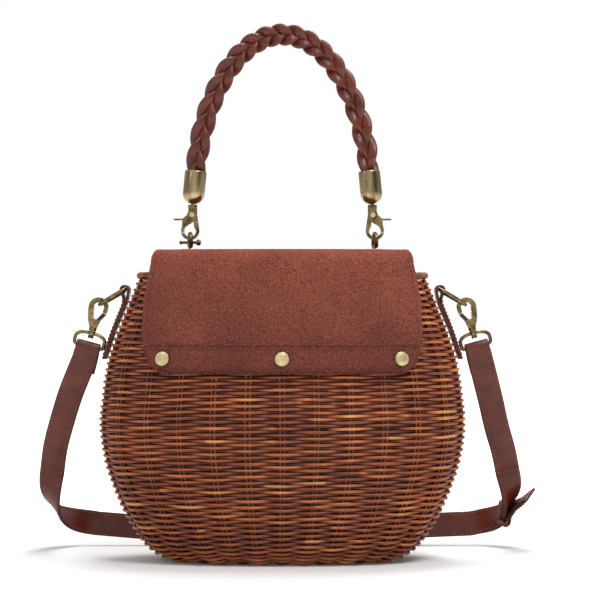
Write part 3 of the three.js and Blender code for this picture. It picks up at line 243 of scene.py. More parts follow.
def make_drift_group():
    """Slow and fine brightness changes over a base colour."""
    tree, given, out = group(
        "colour drift",
        [
            ("Place", "NodeSocketVector", None), ("Dark", "NodeSocketColor", None),
            ("Light", "NodeSocketColor", None), ("Scale", "NodeSocketFloat", 30.0),
            ("Detail", "NodeSocketFloat", 4.0),
        ],
        [("Color", "NodeSocketColor"), ("Share", "NodeSocketFloat")],
    )
    noise = add(tree, "ShaderNodeTexNoise", {
        "Vector": given["Place"], "Scale": given["Scale"], "Detail": given["Detail"],
        "Roughness": 0.6,
    })
    spread = add(tree, "ShaderNodeMapRange", {
        "Value": noise.outputs["Fac"], "From Min": 0.3, "From Max": 0.7,
    })
    mix = add(tree, "ShaderNodeMix", {0: spread.outputs[0], 6: given["Dark"], 7: given["Light"]},
              data_type="RGBA")
    tree.links.new(mix.outputs[2], out["Color"])
    tree.links.new(spread.outputs[0], out["Share"])
    return tree


def make_grain_group():
    """A height of small rounded pebbles with fine noise on top."""
    tree, given, out = group(
        "pebble grain",
        [
            ("Place", "NodeSocketVector", None), ("Scale", "NodeSocketFloat", 900.0),
            ("Fine Scale", "NodeSocketFloat", 3000.0), ("Fine Share", "NodeSocketFloat", 0.4),
        ],
        [("Height", "NodeSocketFloat")],
    )
    pebbles = add(tree, "ShaderNodeTexVoronoi", {
        "Vector": given["Place"], "Scale": given["Scale"], "Randomness": 1.0,
    }, feature="SMOOTH_F1")
    fine = add(tree, "ShaderNodeTexNoise", {
        "Vector": given["Place"], "Scale": given["Fine Scale"], "Detail": 2.0,
    })
    mix = add(tree, "ShaderNodeMix", {
        0: given["Fine Share"], 2: pebbles.outputs["Distance"], 3: fine.outputs["Fac"],
    })
    tree.links.new(mix.outputs[0], out["Height"])
    return tree


def new_material(name):
    """A material with a Principled shader, and the place on the object in metres."""
    material = bpy.data.materials.new(name)
    material.use_nodes = True
    tree = material.node_tree
    shader = tree.nodes["Principled BSDF"]
    place = tree.nodes.new("ShaderNodeTexCoord").outputs["Object"]
    return material, tree, shader, place


def use(tree, source, inputs):
    """One of the shared groups, placed in a material."""
    return add(tree, "ShaderNodeGroup", inputs, node_tree=source).outputs


def set_bump(tree, shader, height, strength, distance):
    bump = add(tree, "ShaderNodeBump", {
        "Height": height, "Strength": strength, "Distance": distance,
    })
    tree.links.new(bump.outputs[0], shader.inputs["Normal"])


def set_color(tree, shader, share, base, over):
    """The base colour, with a share of a second colour multiplied over it."""
    mix = add(tree, "ShaderNodeMix", {0: share, 6: base, 7: over}, data_type="RGBA",
              blend_type="MULTIPLY")
    tree.links.new(mix.outputs[2], shader.inputs["Base Color"])


def set_roughness(tree, shader, share, dull, glossy):
    rough = add(tree, "ShaderNodeMapRange", {"Value": share, "To Min": dull, "To Max": glossy})
    tree.links.new(rough.outputs[0], shader.inputs["Roughness"])


drift = make_drift_group()
grain = make_grain_group()


def make_straw():
    """Round straw rods: each has its own tint, with streaks along it and a soft gloss."""
    material, tree, shader, place = new_material("straw rod")
    tint = add(tree, "ShaderNodeAttribute", attribute_name="tint").outputs["Fac"]
    ramp = add(tree, "ShaderNodeValToRGB", {"Fac": tint})
    stops = ramp.color_ramp.elements
    # The darkest stop also colours the sheet of painted shade inside the weave.
    stops[0].color = rgb(40, 16, 9)
    stops[1].position = 1.0
    stops[1].color = rgb(204, 138, 80)
    for share, color in (
        (0.3, rgb(98, 43, 20)), (0.55, rgb(136, 66, 30)), (0.8, rgb(176, 98, 48)),
    ):
        stops.new(share).color = color
    stretch = add(tree, "ShaderNodeMapping", {"Vector": place, "Scale": (0.12, 0.12, 1.0)})
    streaks = use(tree, drift, {
        "Place": stretch.outputs[0], "Scale": 520.0, "Detail": 5.0,
        "Dark": (0.34, 0.29, 0.26, 1), "Light": (1.38, 1.34, 1.3, 1),
    })
    set_color(tree, shader, 0.85, ramp.outputs[0], streaks["Color"])
    set_roughness(tree, shader, streaks["Share"], 0.5, 0.28)
    shader.inputs["Specular IOR Level"].default_value = 0.4
    set_bump(tree, shader, streaks["Share"], 0.6, 0.0004)
    return material


def make_suede():
    """Short-napped suede with a sandy sparkle, and painted shade: darker towards the flap's bottom,
    lighter towards its top.
    """
    material, tree, shader, place = new_material("suede")
    slow = use(tree, drift, {
        "Place": place, "Scale": 22.0, "Detail": 3.0,
        "Dark": rgb(100, 52, 43), "Light": rgb(116, 63, 52),
    })
    # Painted shade and light: the colour is scaled by height, darker at the flap's bottom and lighter
    # at its top where the light from above falls.
    height = add(tree, "ShaderNodeSeparateXYZ", {0: place}).outputs[2]
    lower = add(tree, "ShaderNodeMapRange", {
        "Value": height, "From Min": 0.15, "From Max": 0.235, "To Min": 0.76, "To Max": 1.2,
    })
    shaded = add(tree, "ShaderNodeVectorMath", {0: slow["Color"], "Scale": lower.outputs[0]},
                 operation="SCALE")
    flecks = use(tree, drift, {
        "Place": place, "Scale": 820.0, "Detail": 4.0,
        "Dark": (0.36, 0.31, 0.3, 1), "Light": (1.72, 1.7, 1.62, 1),
    })
    set_color(tree, shader, 0.9, shaded.outputs[0], flecks["Color"])
    shader.inputs["Roughness"].default_value = 0.92
    shader.inputs["Specular IOR Level"].default_value = 0.15
    shader.inputs["Sheen Weight"].default_value = 0.06
    shader.inputs["Sheen Roughness"].default_value = 0.45
    shader.inputs["Sheen Tint"].default_value = rgb(225, 160, 140)
    nap = use(tree, grain, {
        "Place": place, "Scale": 1100.0, "Fine Scale": 2600.0, "Fine Share": 0.5,
    })
    set_bump(tree, shader, nap["Height"], 0.55, 0.0004)
    return material


def make_leather(name, dark, light, gloss):
    """Smooth leather with a fine pebble and a soft gloss."""
    material, tree, shader, place = new_material(name)
    slow = use(tree, drift, {
        "Place": place, "Scale": 75.0, "Detail": 5.0, "Dark": dark, "Light": light,
    })
    specks = use(tree, drift, {
        "Place": place, "Scale": 850.0, "Detail": 3.0,
        "Dark": (0.72, 0.7, 0.7, 1), "Light": (1.22, 1.2, 1.18, 1),
    })
    set_color(tree, shader, 0.75, slow["Color"], specks["Color"])
    set_roughness(tree, shader, slow["Share"], gloss + 0.08, gloss - 0.04)
    height = use(tree, grain, {
        "Place": place, "Scale": 1000.0, "Fine Scale": 2300.0, "Fine Share": 0.35,
    })
    set_bump(tree, shader, height["Height"], 0.45, 0.0003)
    shader.inputs["Specular IOR Level"].default_value = 0.3
    return material


def make_brass(name, bright, dull, gloss, patina, streak=1.0):
    """Antique brass: rubbed bright, with brown patina in patches or in upright streaks."""
    material, tree, shader, place = new_material(name)
    shader.inputs["Metallic"].default_value = 1.0
    drawn = add(tree, "ShaderNodeMapping", {"Vector": place, "Scale": (1.0, 1.0, streak)})
    tone_wear_and_painted_shade = use(tree, drift, {
        "Place": drawn.outputs[0], "Scale": patina, "Detail": 6.0, "Dark": dull, "Light": bright,
    })
    tree.links.new(tone_wear_and_painted_shade["Color"], shader.inputs["Base Color"])
    set_roughness(tree, shader, tone_wear_and_painted_shade["Share"], gloss + 0.14, gloss)
    height = use(tree, grain, {
        "Place": place, "Scale": 700.0, "Fine Scale": 3500.0, "Fine Share": 0.6,
    })
    set_bump(tree, shader, height["Height"], 0.08, 0.0002)
    return material


straw = make_straw()
suede = make_suede()
strap_leather = make_leather("strap leather", rgb(72, 29, 19), rgb(98, 41, 27), 0.36)
braid_leather = make_leather("braid leather", rgb(68, 27, 18), rgb(98, 42, 28), 0.32)
edge_paint = make_leather("painted leather edge", rgb(46, 19, 16), rgb(62, 27, 22), 0.5)
thread = make_leather("waxed thread", rgb(118, 60, 46), rgb(142, 78, 62), 0.6)
dark_thread = make_leather("dark waxed thread", rgb(62, 28, 23), rgb(84, 40, 33), 0.6)
brass = make_brass("antique brass", rgb(146, 126, 88), rgb(44, 35, 24), 0.24, 190.0)
cap_brass = make_brass("rubbed brass", rgb(170, 154, 116), rgb(96, 82, 56), 0.17, 500.0, 0.06)
snap_brass = make_brass("pale brass", rgb(208, 192, 152), rgb(166, 148, 108), 0.36, 250.0)
dark_metal = make_brass("blackened brass", rgb(88, 75, 52), rgb(42, 35, 26), 0.34, 220.0)


# Mesh helpers. A shape is points, four-sided faces and three-sided faces.


class Gathered:
    """Shapes joined into one mesh, each with its own tint."""

    def __init__(self):
        self.points = []
        self.quads = []
        self.triangles = []
        self.tints = []
        self.count = 0

    def add(self, shape, tint=0.5):
        points, quads, triangles = shape
        self.points.append(points)
        self.quads.append(np.asarray(quads, int).reshape(-1, 4) + self.count)
        self.triangles.append(np.asarray(triangles, int).reshape(-1, 3) + self.count)
        self.tints.append(np.broadcast_to(np.asarray(tint, float), (len(points),)))
        self.count += len(points)

    def made(self, name, material):
        points = np.concatenate(self.points)
        quads = np.concatenate(self.quads)
        triangles = np.concatenate(self.triangles)
        mesh = bpy.data.meshes.new(name)
        mesh.vertices.add(len(points))
        mesh.vertices.foreach_set("co", (points * MM).astype(np.float32).ravel())
        mesh.loops.add(quads.size + triangles.size)
        mesh.loops.foreach_set("vertex_index", np.concatenate([quads.ravel(), triangles.ravel()]))
        mesh.polygons.add(len(quads) + len(triangles))
        starts = np.concatenate([
            np.arange(len(quads)) * 4, quads.size + np.arange(len(triangles)) * 3,
        ])
        mesh.polygons.foreach_set("loop_start", starts)
        mesh.update(calc_edges=True)
        mesh.polygons.foreach_set("use_smooth", np.full(len(mesh.polygons), True))
        tint = mesh.attributes.new("tint", "FLOAT", "POINT")
        tint.data.foreach_set("value", np.concatenate(self.tints).astype(np.float32))
        mesh.materials.append(material)
        mesh.validate()
        obj = bpy.data.objects.new(name, mesh)
        bpy.context.scene.collection.objects.link(obj)
        return obj


def place_piece(obj, body, slot, *nodes):
    """The piece rides on its body and stands for its solids; its finish slot is not used."""
    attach(obj, body)
    if nodes:
        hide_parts(*nodes)


def place_shape(shape, name, material, slot, *nodes):
    """One shape as its own piece of the bag, with its faces turned outwards."""
    whole = Gathered()
    whole.add(shape)
    place_piece(facing_out(whole.made(name, material)), "root", slot, *nodes)


def skin(rings, looped=False, capped=True):
    """Faces over rings of points, an array of rings by points by three."""
    rows, count = rings.shape[:2]
    here = np.arange(rows * count).reshape(rows, count)
    nxt = np.roll(here, -1, axis=1)
    spans = rows if looped else rows - 1
    low = np.arange(spans)
    high = (low + 1) % rows
    quads = np.stack([here[low], nxt[low], nxt[high], here[high]], axis=-1).reshape(-1, 4)
    points = rings.reshape(-1, 3)
    triangles = np.zeros((0, 3), int)
    if capped and not looped:
        ends = np.stack([rings[0].mean(0), rings[-1].mean(0)])
        first = rows * count
        points = np.concatenate([points, ends])
        triangles = np.concatenate([
            np.stack([nxt[0], here[0], np.full(count, first)], axis=-1),
            np.stack([here[-1], nxt[-1], np.full(count, first + 1)], axis=-1),
        ])
    return points, quads, triangles


def round_section(radius, sides):
    turn = np.arange(sides) / sides * 2 * math.pi
    return np.stack([np.cos(turn), np.sin(turn)], axis=-1) * radius


def flat_section(half_width, half_thickness, corner, steps=4):
    """A flat section with rounded corners, with its points counted round from +width."""
    points = []
    for side_w, side_t, start in ((1, 1, 0), (-1, 1, 90), (-1, -1, 180), (1, -1, 270)):
        for step in range(steps):
            turn = math.radians(start + step * 90 / (steps - 1))
            points.append((
                side_w * (half_width - corner) + math.cos(turn) * corner,
                side_t * (half_thickness - corner) + math.sin(turn) * corner,
            ))
    return np.array(points)


def sweep(path, wide, deep, section, looped=False):
    """A section carried along a path; wide and deep are its two directions at each point."""
    section = np.asarray(section, float)
    if section.ndim == 2:
        section = np.broadcast_to(section, (len(path), *section.shape))
    rings = (
        path[:, None, :]
        + section[..., 0:1] * wide[:, None, :]
        + section[..., 1:2] * deep[:, None, :]
    )
    return skin(rings, looped)


def tangents(path, looped=False):
    if looped:
        return unit(np.roll(path, -1, axis=0) - np.roll(path, 1, axis=0))
    return unit(np.gradient(path, axis=0))


def wire(path, radius, across):
    """A closed ring of round wire bent in a plane; across is square to the plane."""
    across = np.broadcast_to(across, path.shape)
    out = unit(np.cross(tangents(path, looped=True), across))
    return sweep(path, out, across, round_section(radius, 14), looped=True)


def turned(profile, sides=48):
    """Profile points as radius and height, turned round the z axis."""
    profile = np.asarray(profile, float)
    turn = np.arange(sides) / sides * 2 * math.pi
    rings = np.stack([
        np.outer(profile[:, 0], np.cos(turn)),
        np.outer(profile[:, 0], np.sin(turn)),
        np.repeat(profile[:, 1:2], sides, axis=1),
    ], axis=-1)
    return skin(rings, capped=False)


def moved(shape, place, rotation=None):
    points, quads, triangles = shape
    if rotation is not None:
        points = points @ np.array(rotation.to_3x3()).T
    return points + np.asarray(place, float), quads, triangles


def bevel(obj, width, angle):
    """Rounds the sharp edges of a piece and shades its curved faces smooth."""
    obj.data.polygons.foreach_set("use_smooth", np.full(len(obj.data.polygons), True))
    obj.data.set_sharp_from_angle(angle=math.radians(angle))
    rounded = obj.modifiers.new("rounded edges", "BEVEL")
    rounded.width = width * MM
    rounded.segments = 3
    rounded.limit_method = "ANGLE"
    rounded.angle_limit = math.radians(angle)
    rounded.harden_normals = True


def stitches(name, path, face, pitch=3.1, length=2.1, radius=0.42, sink=0.12,
             slot="leather", yarn=thread):
    """A row of thread stitches along a path, lying on the face whose normals are given."""
    steps = np.concatenate([[0], np.cumsum(np.linalg.norm(np.diff(path, axis=0), axis=1))])
    row = Gathered()
    arch = np.sqrt(np.clip(1 - np.linspace(-1, 1, 7) ** 2, 0.02, 1))
    for spot in np.arange(pitch, steps[-1] - pitch / 2, pitch):
        lengths = spot + np.linspace(-0.5, 0.5, 7) * length
        line, normal = (
            np.stack([np.interp(lengths, steps, along[:, axis]) for axis in range(3)], axis=-1)
            for along in (path, face)
        )
        normal = unit(normal)
        line = line + normal * (arch * radius - sink)[:, None]
        side = unit(np.cross(tangents(line), normal))
        section = round_section(1, 6)[None] * (arch * radius)[:, None, None]
        row.add(sweep(line, side, normal, section))
    place_piece(row.made(name, yarn), "root", slot)


# Basket


def profile_rows(heights):
    """Half width and half depth of the basket at heights, on a smooth line."""
    table = np.array(BASKET_PROFILE)
    share = np.clip(np.asarray(heights) / BASKET_HEIGHT, 0, 1)
    rows = []
    for column, size in ((1, BASKET_HALF_WIDTH), (2, BASKET_HALF_DEPTH)):
        slopes = np.gradient(table[:, column], table[:, 0])
        index = np.clip(np.searchsorted(table[:, 0], share) - 1, 0, len(table) - 2)
        span = table[index + 1, 0] - table[index, 0]
        t = (share - table[index, 0]) / span
        start = (2 * t ** 3 - 3 * t ** 2 + 1) * table[index, column]
        start_slope = (t ** 3 - 2 * t ** 2 + t) * span * slopes[index]
        end = (3 * t ** 2 - 2 * t ** 3) * table[index + 1, column]
        end_slope = (t ** 3 - t ** 2) * span * slopes[index + 1]
        rows.append(size * (start + start_slope + end + end_slope))
    return rows


def straight_profile(height):
    """The same, on straight lines between the rows, as the solids have it."""
    table = np.array(BASKET_PROFILE)
    share = np.clip(height / BASKET_HEIGHT, 0, 1)
    return (
        BASKET_HALF_WIDTH * np.interp(share, table[:, 0], table[:, 1]),
        BASKET_HALF_DEPTH * np.interp(share, table[:, 0], table[:, 2]),
    )


def depth_at(x, height):
    half_width, half_depth = straight_profile(height)
    share = np.minimum(np.abs(x) / half_width, 0.999)
    return half_depth * (1 - share ** PLAN_POWER) ** (1 / PLAN_POWER)


def plan_line(half_width, half_depth, shares):
    """Points of the plan curve at shares of its length, counted from +x towards +y."""
    turn = np.linspace(0, 2 * math.pi, 1441)
    bend = 2 / PLAN_POWER
    x = np.sign(np.cos(turn)) * np.abs(np.cos(turn)) ** bend * half_width
    y = np.sign(np.sin(turn)) * np.abs(np.sin(turn)) ** bend * half_depth
    run = np.concatenate([[0], np.cumsum(np.hypot(np.diff(x), np.diff(y)))])
    spots = (shares % 1) * run[-1]
    return np.interp(spots, run, x), np.interp(spots, run, y)


def wall_grid(heights, shares):
    """Outer face of the weave: places and outward normals, rows by shares."""
    widths, depths = profile_rows(heights)
    lines = [plan_line(w, d, shares) for w, d in zip(widths, depths)]
    place = np.stack([
        np.array([x for x, _ in lines]),
        np.array([y for _, y in lines]),
        np.repeat(np.asarray(heights)[:, None], len(shares), axis=1),
    ], axis=-1)
    round_way = np.roll(place, -1, axis=1) - np.roll(place, 1, axis=1)
    up_way = np.gradient(place, axis=0)
    return place, unit(np.cross(round_way, up_way))


def row_heights():
    """Heights of the rows, one rod's pitch apart along the wall."""
    fine = np.linspace(1.3, BASKET_HEIGHT - 0.6, 1200)
    widths, depths = profile_rows(fine)
    out = np.gradient((widths + depths) / 2)
    run = np.cumsum(np.hypot(np.gradient(fine), out))
    count = int((run[-1] - run[0]) / ROW_PITCH)
    return np.interp(np.linspace(run[0], run[-1], count), run, fine)


def row_wobble(rng, rows, shares):
    """Small height changes that neighbouring rows follow together, so no gap opens."""
    wobble = np.zeros((rows, len(shares)))
    for beats in (2, 5, 9, 14, 23):
        drift_step = rng.uniform(-0.14, 0.14)
        phase = shares * 2 * math.pi * beats + rng.uniform(0, 6.3)
        steps = drift_step * np.arange(rows)
        wobble += rng.normal(0, 0.2) * np.cos(phase[None, :] + steps[:, None])
    return wobble


def make_weave():
    """Rods that pass in front of and behind the stakes, row by row."""
    rng = np.random.default_rng(11)
    steps = STAKE_PAIRS * WEAVE_STEPS
    shares = np.arange(steps) / steps
    heights = row_heights()
    place, normal = wall_grid(heights, shares)
    wave = np.arange(steps) / WEAVE_STEPS * math.pi - math.pi / 2
    rows = len(heights)
    wobble = row_wobble(rng, rows, shares)
    pieces = [Gathered(), Gathered()]
    for row in range(rows):
        phase = wave + row * math.pi
        swing = np.cos(phase) * (1.15 - 0.15 * np.cos(phase) ** 2)
        lift = 0.1 * np.sin(phase) + wobble[row]
        swell = 1 + 0.05 * np.cos(shares * 2 * math.pi * rng.integers(3, 9) + rng.uniform(0, 6.3))
        thick = ROD_RADIUS * rng.uniform(0.95, 1.03) * swell
        inset = thick + WEAVE_SWING * (1 - swing) + np.abs(rng.normal(0, 0.12))
        path = place[row] - normal[row] * inset[:, None] + vec(0, 0, 1) * lift[:, None]
        path[:, 2] = np.maximum(path[:, 2], thick + 0.05)
        if row < 2:
            path[:, 2] += 0.9 * (1 - np.abs(np.cos(wave)))
        along = tangents(path, looped=True)
        deep = unit(np.cross(along, normal[row]))
        section = round_section(1, 8)[None] * thick[:, None, None]
        breaks = np.sort(rng.integers(0, steps, ROW_TINTS - 1))
        tints = np.clip(rng.normal(0.56, 0.12, ROW_TINTS), 0.2, 0.84)
        tints[rng.integers(0, ROW_TINTS)] = rng.uniform(0.75, 0.95)
        tint = tints[np.searchsorted(breaks, np.arange(steps), side="right")]
        # Painted shade: each rod is darker where it passes behind the stakes and lighter where it comes
        # to the front; the rest of the tint is the rod's own tone.
        tone_wear_and_painted_shade = np.clip(tint + 0.22 * swing - 0.12, 0, 1)
        piece = pieces[0] if row < rows / 2 else pieces[1]
        piece.add(
            sweep(path, normal[row], deep, section, looped=True),
            np.repeat(tone_wear_and_painted_shade, section.shape[1]),
        )
    for label, piece in zip(("lower", "upper"), pieces):
        place_piece(piece.made(f"basket_weave_{label}", straw), "root", "wicker", "basket")


def make_shade_sheet():
    """A dark sheet inside the weave: painted shade, seen only as darkness between the rods."""
    shares = np.arange(104) / 104
    heights = np.linspace(1.0, BASKET_HEIGHT - 1, 60)
    place, normal = wall_grid(heights, shares)
    outside = place - normal * SHADE_SHEET_INSET
    inside = place - normal * (SHADE_SHEET_INSET + 0.5)
    rings = np.concatenate([outside, inside[::-1]])
    shade_sheet = Gathered()
    # Painted shade: the sheet takes the straw's darkest tint.
    shade_sheet.add(skin(rings, capped=False), 0.0)
    place_piece(facing_out(shade_sheet.made("basket_weave_shade_sheet", straw)), "root", "wicker", "basket")


def make_stakes():
    """Pairs of upright stakes, which the rows pass on either side."""
    rng = np.random.default_rng(12)
    heights = np.linspace(1.6, BASKET_HEIGHT + 1, 56)
    shares = (np.arange(STAKE_PAIRS) + 0.5) / STAKE_PAIRS
    dense = np.arange(STAKE_PAIRS * 16) / (STAKE_PAIRS * 16)
    place, normal = wall_grid(heights, dense)
    stakes = Gathered()
    for pair in range(STAKE_PAIRS):
        column = int(round(shares[pair] * len(dense)))
        beside = place[:, (column + 1) % len(dense)] - place[:, column - 1]
        round_way = unit(beside)
        middle = place[:, column] - normal[:, column] * (ROD_RADIUS + WEAVE_SWING)
        for side in (-1, 1):
            sway = rng.normal(0, 0.25) * np.sin(heights / 40 + rng.uniform(0, 6.3))
            path = middle + round_way * (side * STAKE_SPREAD + sway)[:, None]
            stakes.add(
                sweep(path, normal[:, column], round_way, round_section(STAKE_RADIUS, 7)),
                np.clip(rng.normal(0.42, 0.12), 0.1, 0.8),
            )
    place_piece(stakes.made("basket_stakes", straw), "root", "wicker", "basket")


def make_base():
    """The woven bottom: rings of rods that shrink to the middle, over crossing spokes."""
    rng = np.random.default_rng(13)
    half_width, half_depth = (v[0] for v in profile_rows([0]))
    base = Gathered()
    rings = int(half_depth / ROW_PITCH) - 1
    for ring in range(rings):
        inset = 3.6 + ring * ROW_PITCH
        steps = STAKE_PAIRS * BASE_STEPS
        shares = np.arange(steps) / steps
        x, y = plan_line(half_width - inset, max(half_depth - inset, 0.6), shares)
        wave = np.cos(np.arange(steps) / BASE_STEPS * math.pi - math.pi / 2 + ring * math.pi)
        path = np.stack([x, y, BASE_ROD_HEIGHT - 1.3 * wave], axis=-1)
        along = tangents(path, looped=True)
        up = np.broadcast_to(vec(0, 0, 1), path.shape)
        base.add(
            sweep(path, unit(np.cross(along, up)), up, round_section(BASE_ROD_RADIUS, 7), looped=True),
            np.clip(rng.normal(0.45, 0.14), 0.1, 0.85),
        )
    shares = (np.arange(STAKE_PAIRS) + 0.5) / STAKE_PAIRS
    x, y = plan_line(half_width - 3, half_depth - 3, shares)
    spine = half_width - half_depth
    for index in range(STAKE_PAIRS):
        inner = np.clip(x[index], -spine, spine)
        start = vec(x[index], y[index], BASE_ROD_HEIGHT)
        spoke = vec(inner, 0, BASE_ROD_HEIGHT) - start
        path = start + spoke * np.linspace(0, 0.95, 6)[:, None]
        side = unit(np.cross(tangents(path), vec(0, 0, 1)))
        for shift in (-STAKE_SPREAD, STAKE_SPREAD):
            up = np.broadcast_to(vec(0, 0, 1), path.shape)
            base.add(sweep(path + side * shift, side, up, round_section(STAKE_RADIUS, 6)), 0.4)
    place_piece(base.made("basket_base", straw), "root", "wicker", "basket")


def make_rim():
    """The top border: four rods laid round each other like a rope."""
    rng = np.random.default_rng(14)
    half_width, half_depth = (v[0] for v in profile_rows([BASKET_HEIGHT]))
    inset = BASKET_WALL / 2
    steps = 640
    shares = np.arange(steps) / steps
    x, y = plan_line(half_width - inset, half_depth - inset, shares)
    middle = np.stack([x, y, np.full(steps, RIM_CENTRE)], axis=-1)
    along = tangents(middle, looped=True)
    up = np.broadcast_to(vec(0, 0, 1), middle.shape)
    out = unit(np.cross(along, up))
    rim = Gathered()
    for strand in range(4):
        turn = shares * 2 * math.pi * RIM_TURNS + strand * math.pi / 2
        sway = out * (np.cos(turn) * RIM_SWAY)[:, None]
        path = middle + sway + up * (np.sin(turn) * RIM_RISE)[:, None]
        way = tangents(path, looped=True)
        side = unit(np.cross(way, up))
        rim.add(
            sweep(path, side, unit(np.cross(side, way)), round_section(RIM_ROD_RADIUS, 8), looped=True),
            np.clip(rng.normal(0.5, 0.1), 0.2, 0.8),
        )
    place_piece(rim.made("basket_border", straw), "root", "wicker", "basket_rim")


# Flap


def flap_depth(x, height):
    near_rim = 0.7 * smoothstep((height - (BASKET_HEIGHT - 20)) / 8)
    return depth_at(x, min(height, BASKET_HEIGHT)) + FLAP_CLEARANCE + near_rim


def flap_width_at(drop):
    table = np.array(FLAP_EDGE)
    return FLAP_HALF_WIDTH * np.interp(drop, table[:, 0], table[:, 1])


def flap_width_up(height):
    """Half width of the flap's front at a height."""
    return flap_width_at((FLAP_FOLD - height) / (FLAP_FOLD - FLAP_FRONT_BOTTOM))


def flap_point(side, height, bend_deg, x, lift):
    """A point of the flap; lift is the distance from its basket side."""
    turn = math.radians(bend_deg)
    inner = FLAP_BEND_RADIUS - FLAP_THICKNESS
    out = flap_depth(x, height) - inner + (inner + lift) * math.cos(turn)
    return np.stack([
        x, side * out, height + (inner + lift) * math.sin(turn) + np.zeros_like(out),
    ], axis=-1)


def flap_rows():
    """Rows from the front hem over the top to the back hem: side, height, bend, width."""
    fold = FLAP_FOLD
    drops = np.linspace(1, 0, 34)
    rows = [(-1, fold - (fold - FLAP_FRONT_BOTTOM) * d, 0, flap_width_at(d)) for d in drops]
    bends = range(10, 91, 10)
    fold_width = {
        bend: flap_width_at(0) * (1 - FLAP_CORNER * (1 - math.cos(math.radians(bend))))
        for bend in bends
    }
    rows += [(-1, fold, bend, fold_width[bend]) for bend in bends]
    rows += [(1, fold, bend, fold_width[bend]) for bend in reversed(bends)]
    rows += [(1, fold - (fold - FLAP_BACK_BOTTOM) * d, 0, flap_width_at(d)) for d in drops[::-1]]
    return rows


def sheet(rows, inner, outer, trim, edge_roll=0.0):
    """A curved sheet of leather between two lifts, as a closed shape with square edges."""
    columns = SHEET_COLUMNS
    spread = np.linspace(-1, 1, columns)
    rings = []
    for side, height, bend, width in rows:
        x = spread * (width - trim)
        from_edge = (width - trim) - np.abs(x)
        roll = edge_roll * np.exp(-(((from_edge - 1.2) / 1.3) ** 2))
        top = flap_point(side, height, bend, x, outer + roll)
        under = flap_point(side, height, bend, x[::-1], np.full(columns, inner))
        rings.append(np.concatenate([top, under]))
    rings = np.array(rings)
    count = 2 * columns
    points, quads, _ = skin(rings, capped=False)
    last = (len(rows) - 1) * count
    ends = []
    for side in range(columns - 1):
        far = count - 1 - side
        ends.append((side, side + 1, far - 1, far))
        ends.append((last + far, last + far - 1, last + side + 1, last + side))
    return points, np.concatenate([quads, np.array(ends)]), np.zeros((0, 3), int)


def facing_out(obj):
    """Turns a closed piece's faces outwards, by the sign of its volume."""
    mesh = obj.data
    mesh.calc_loop_triangles()
    points = np.array([v.co for v in mesh.vertices])
    corners = np.array([t.vertices for t in mesh.loop_triangles])
    a, b, c = (points[corners[:, index]] for index in range(3))
    if np.einsum("ij,ij->i", a, np.cross(b, c)).sum() < 0:
        mesh.flip_normals()
    return obj


def place_sheet(shape, name, edge, node):
    """A sheet as a piece of suede with rounded edges."""
    whole = Gathered()
    whole.add(shape)
    piece = facing_out(whole.made(name, suede))
    bevel(piece, edge, angle=50)
    place_piece(piece, "root", "suede", node)


def band_rows():
    bottom = FLAP_FRONT_BOTTOM + BAND_HEM
    heights = bottom + BAND_HEIGHT * np.linspace(0, 1, 12)
    return [(-1, height, 0, flap_width_up(height)) for height in heights]


def make_flap():
    """The flap over the opening, and the band sewn on its front hem."""
    flap = sheet(flap_rows(), 0.0, FLAP_THICKNESS, 0.0, edge_roll=0.35)
    place_sheet(flap, "flap_suede", 0.9, "flap")
    band = sheet(band_rows(), BAND_LIFT - 0.05, BAND_LIFT + BAND_THICKNESS, BAND_HEM)
    place_sheet(band, "flap_snap_band", 0.5, "flap_band")


def front_face(x, height, lift):
    """A point on the flap's front and the way it faces."""
    x = np.asarray(x, float)
    here = flap_point(-1, height, 0, x, lift)
    side = flap_point(-1, height, 0, x + 1, lift) - flap_point(-1, height, 0, x - 1, lift)
    up = flap_point(-1, height + 1, 0, x, lift) - flap_point(-1, height - 1, 0, x, lift)
    return here, unit(np.cross(side, up))


def make_flap_stitches():
    """Rows along both edges of the band, and up both sides of the flap."""
    sewn = {"slot": "suede", "radius": 0.4, "sink": 0.2, "yarn": dark_thread}
    for label, height in (("upper", BAND_TOP - 1.6), ("lower", BAND_TOP - BAND_HEIGHT + 1.5)):
        width = flap_width_up(height) - BAND_SEAM_INSET
        across = np.linspace(-width, width, 120)
        here, face = front_face(across, height, BAND_LIFT + BAND_THICKNESS)
        stitches(f"flap_stitches_{label}", here, face, **sewn)
    for label, side in SIDES:
        places, faces = zip(*(
            front_face(side * (flap_width_up(height) - SIDE_SEAM_INSET), height, FLAP_THICKNESS)
            for height in np.linspace(BAND_TOP + 1, FLAP_FOLD, 60)
        ))
        stitches(f"flap_stitches_{label}", np.array(places), np.array(faces), **sewn)


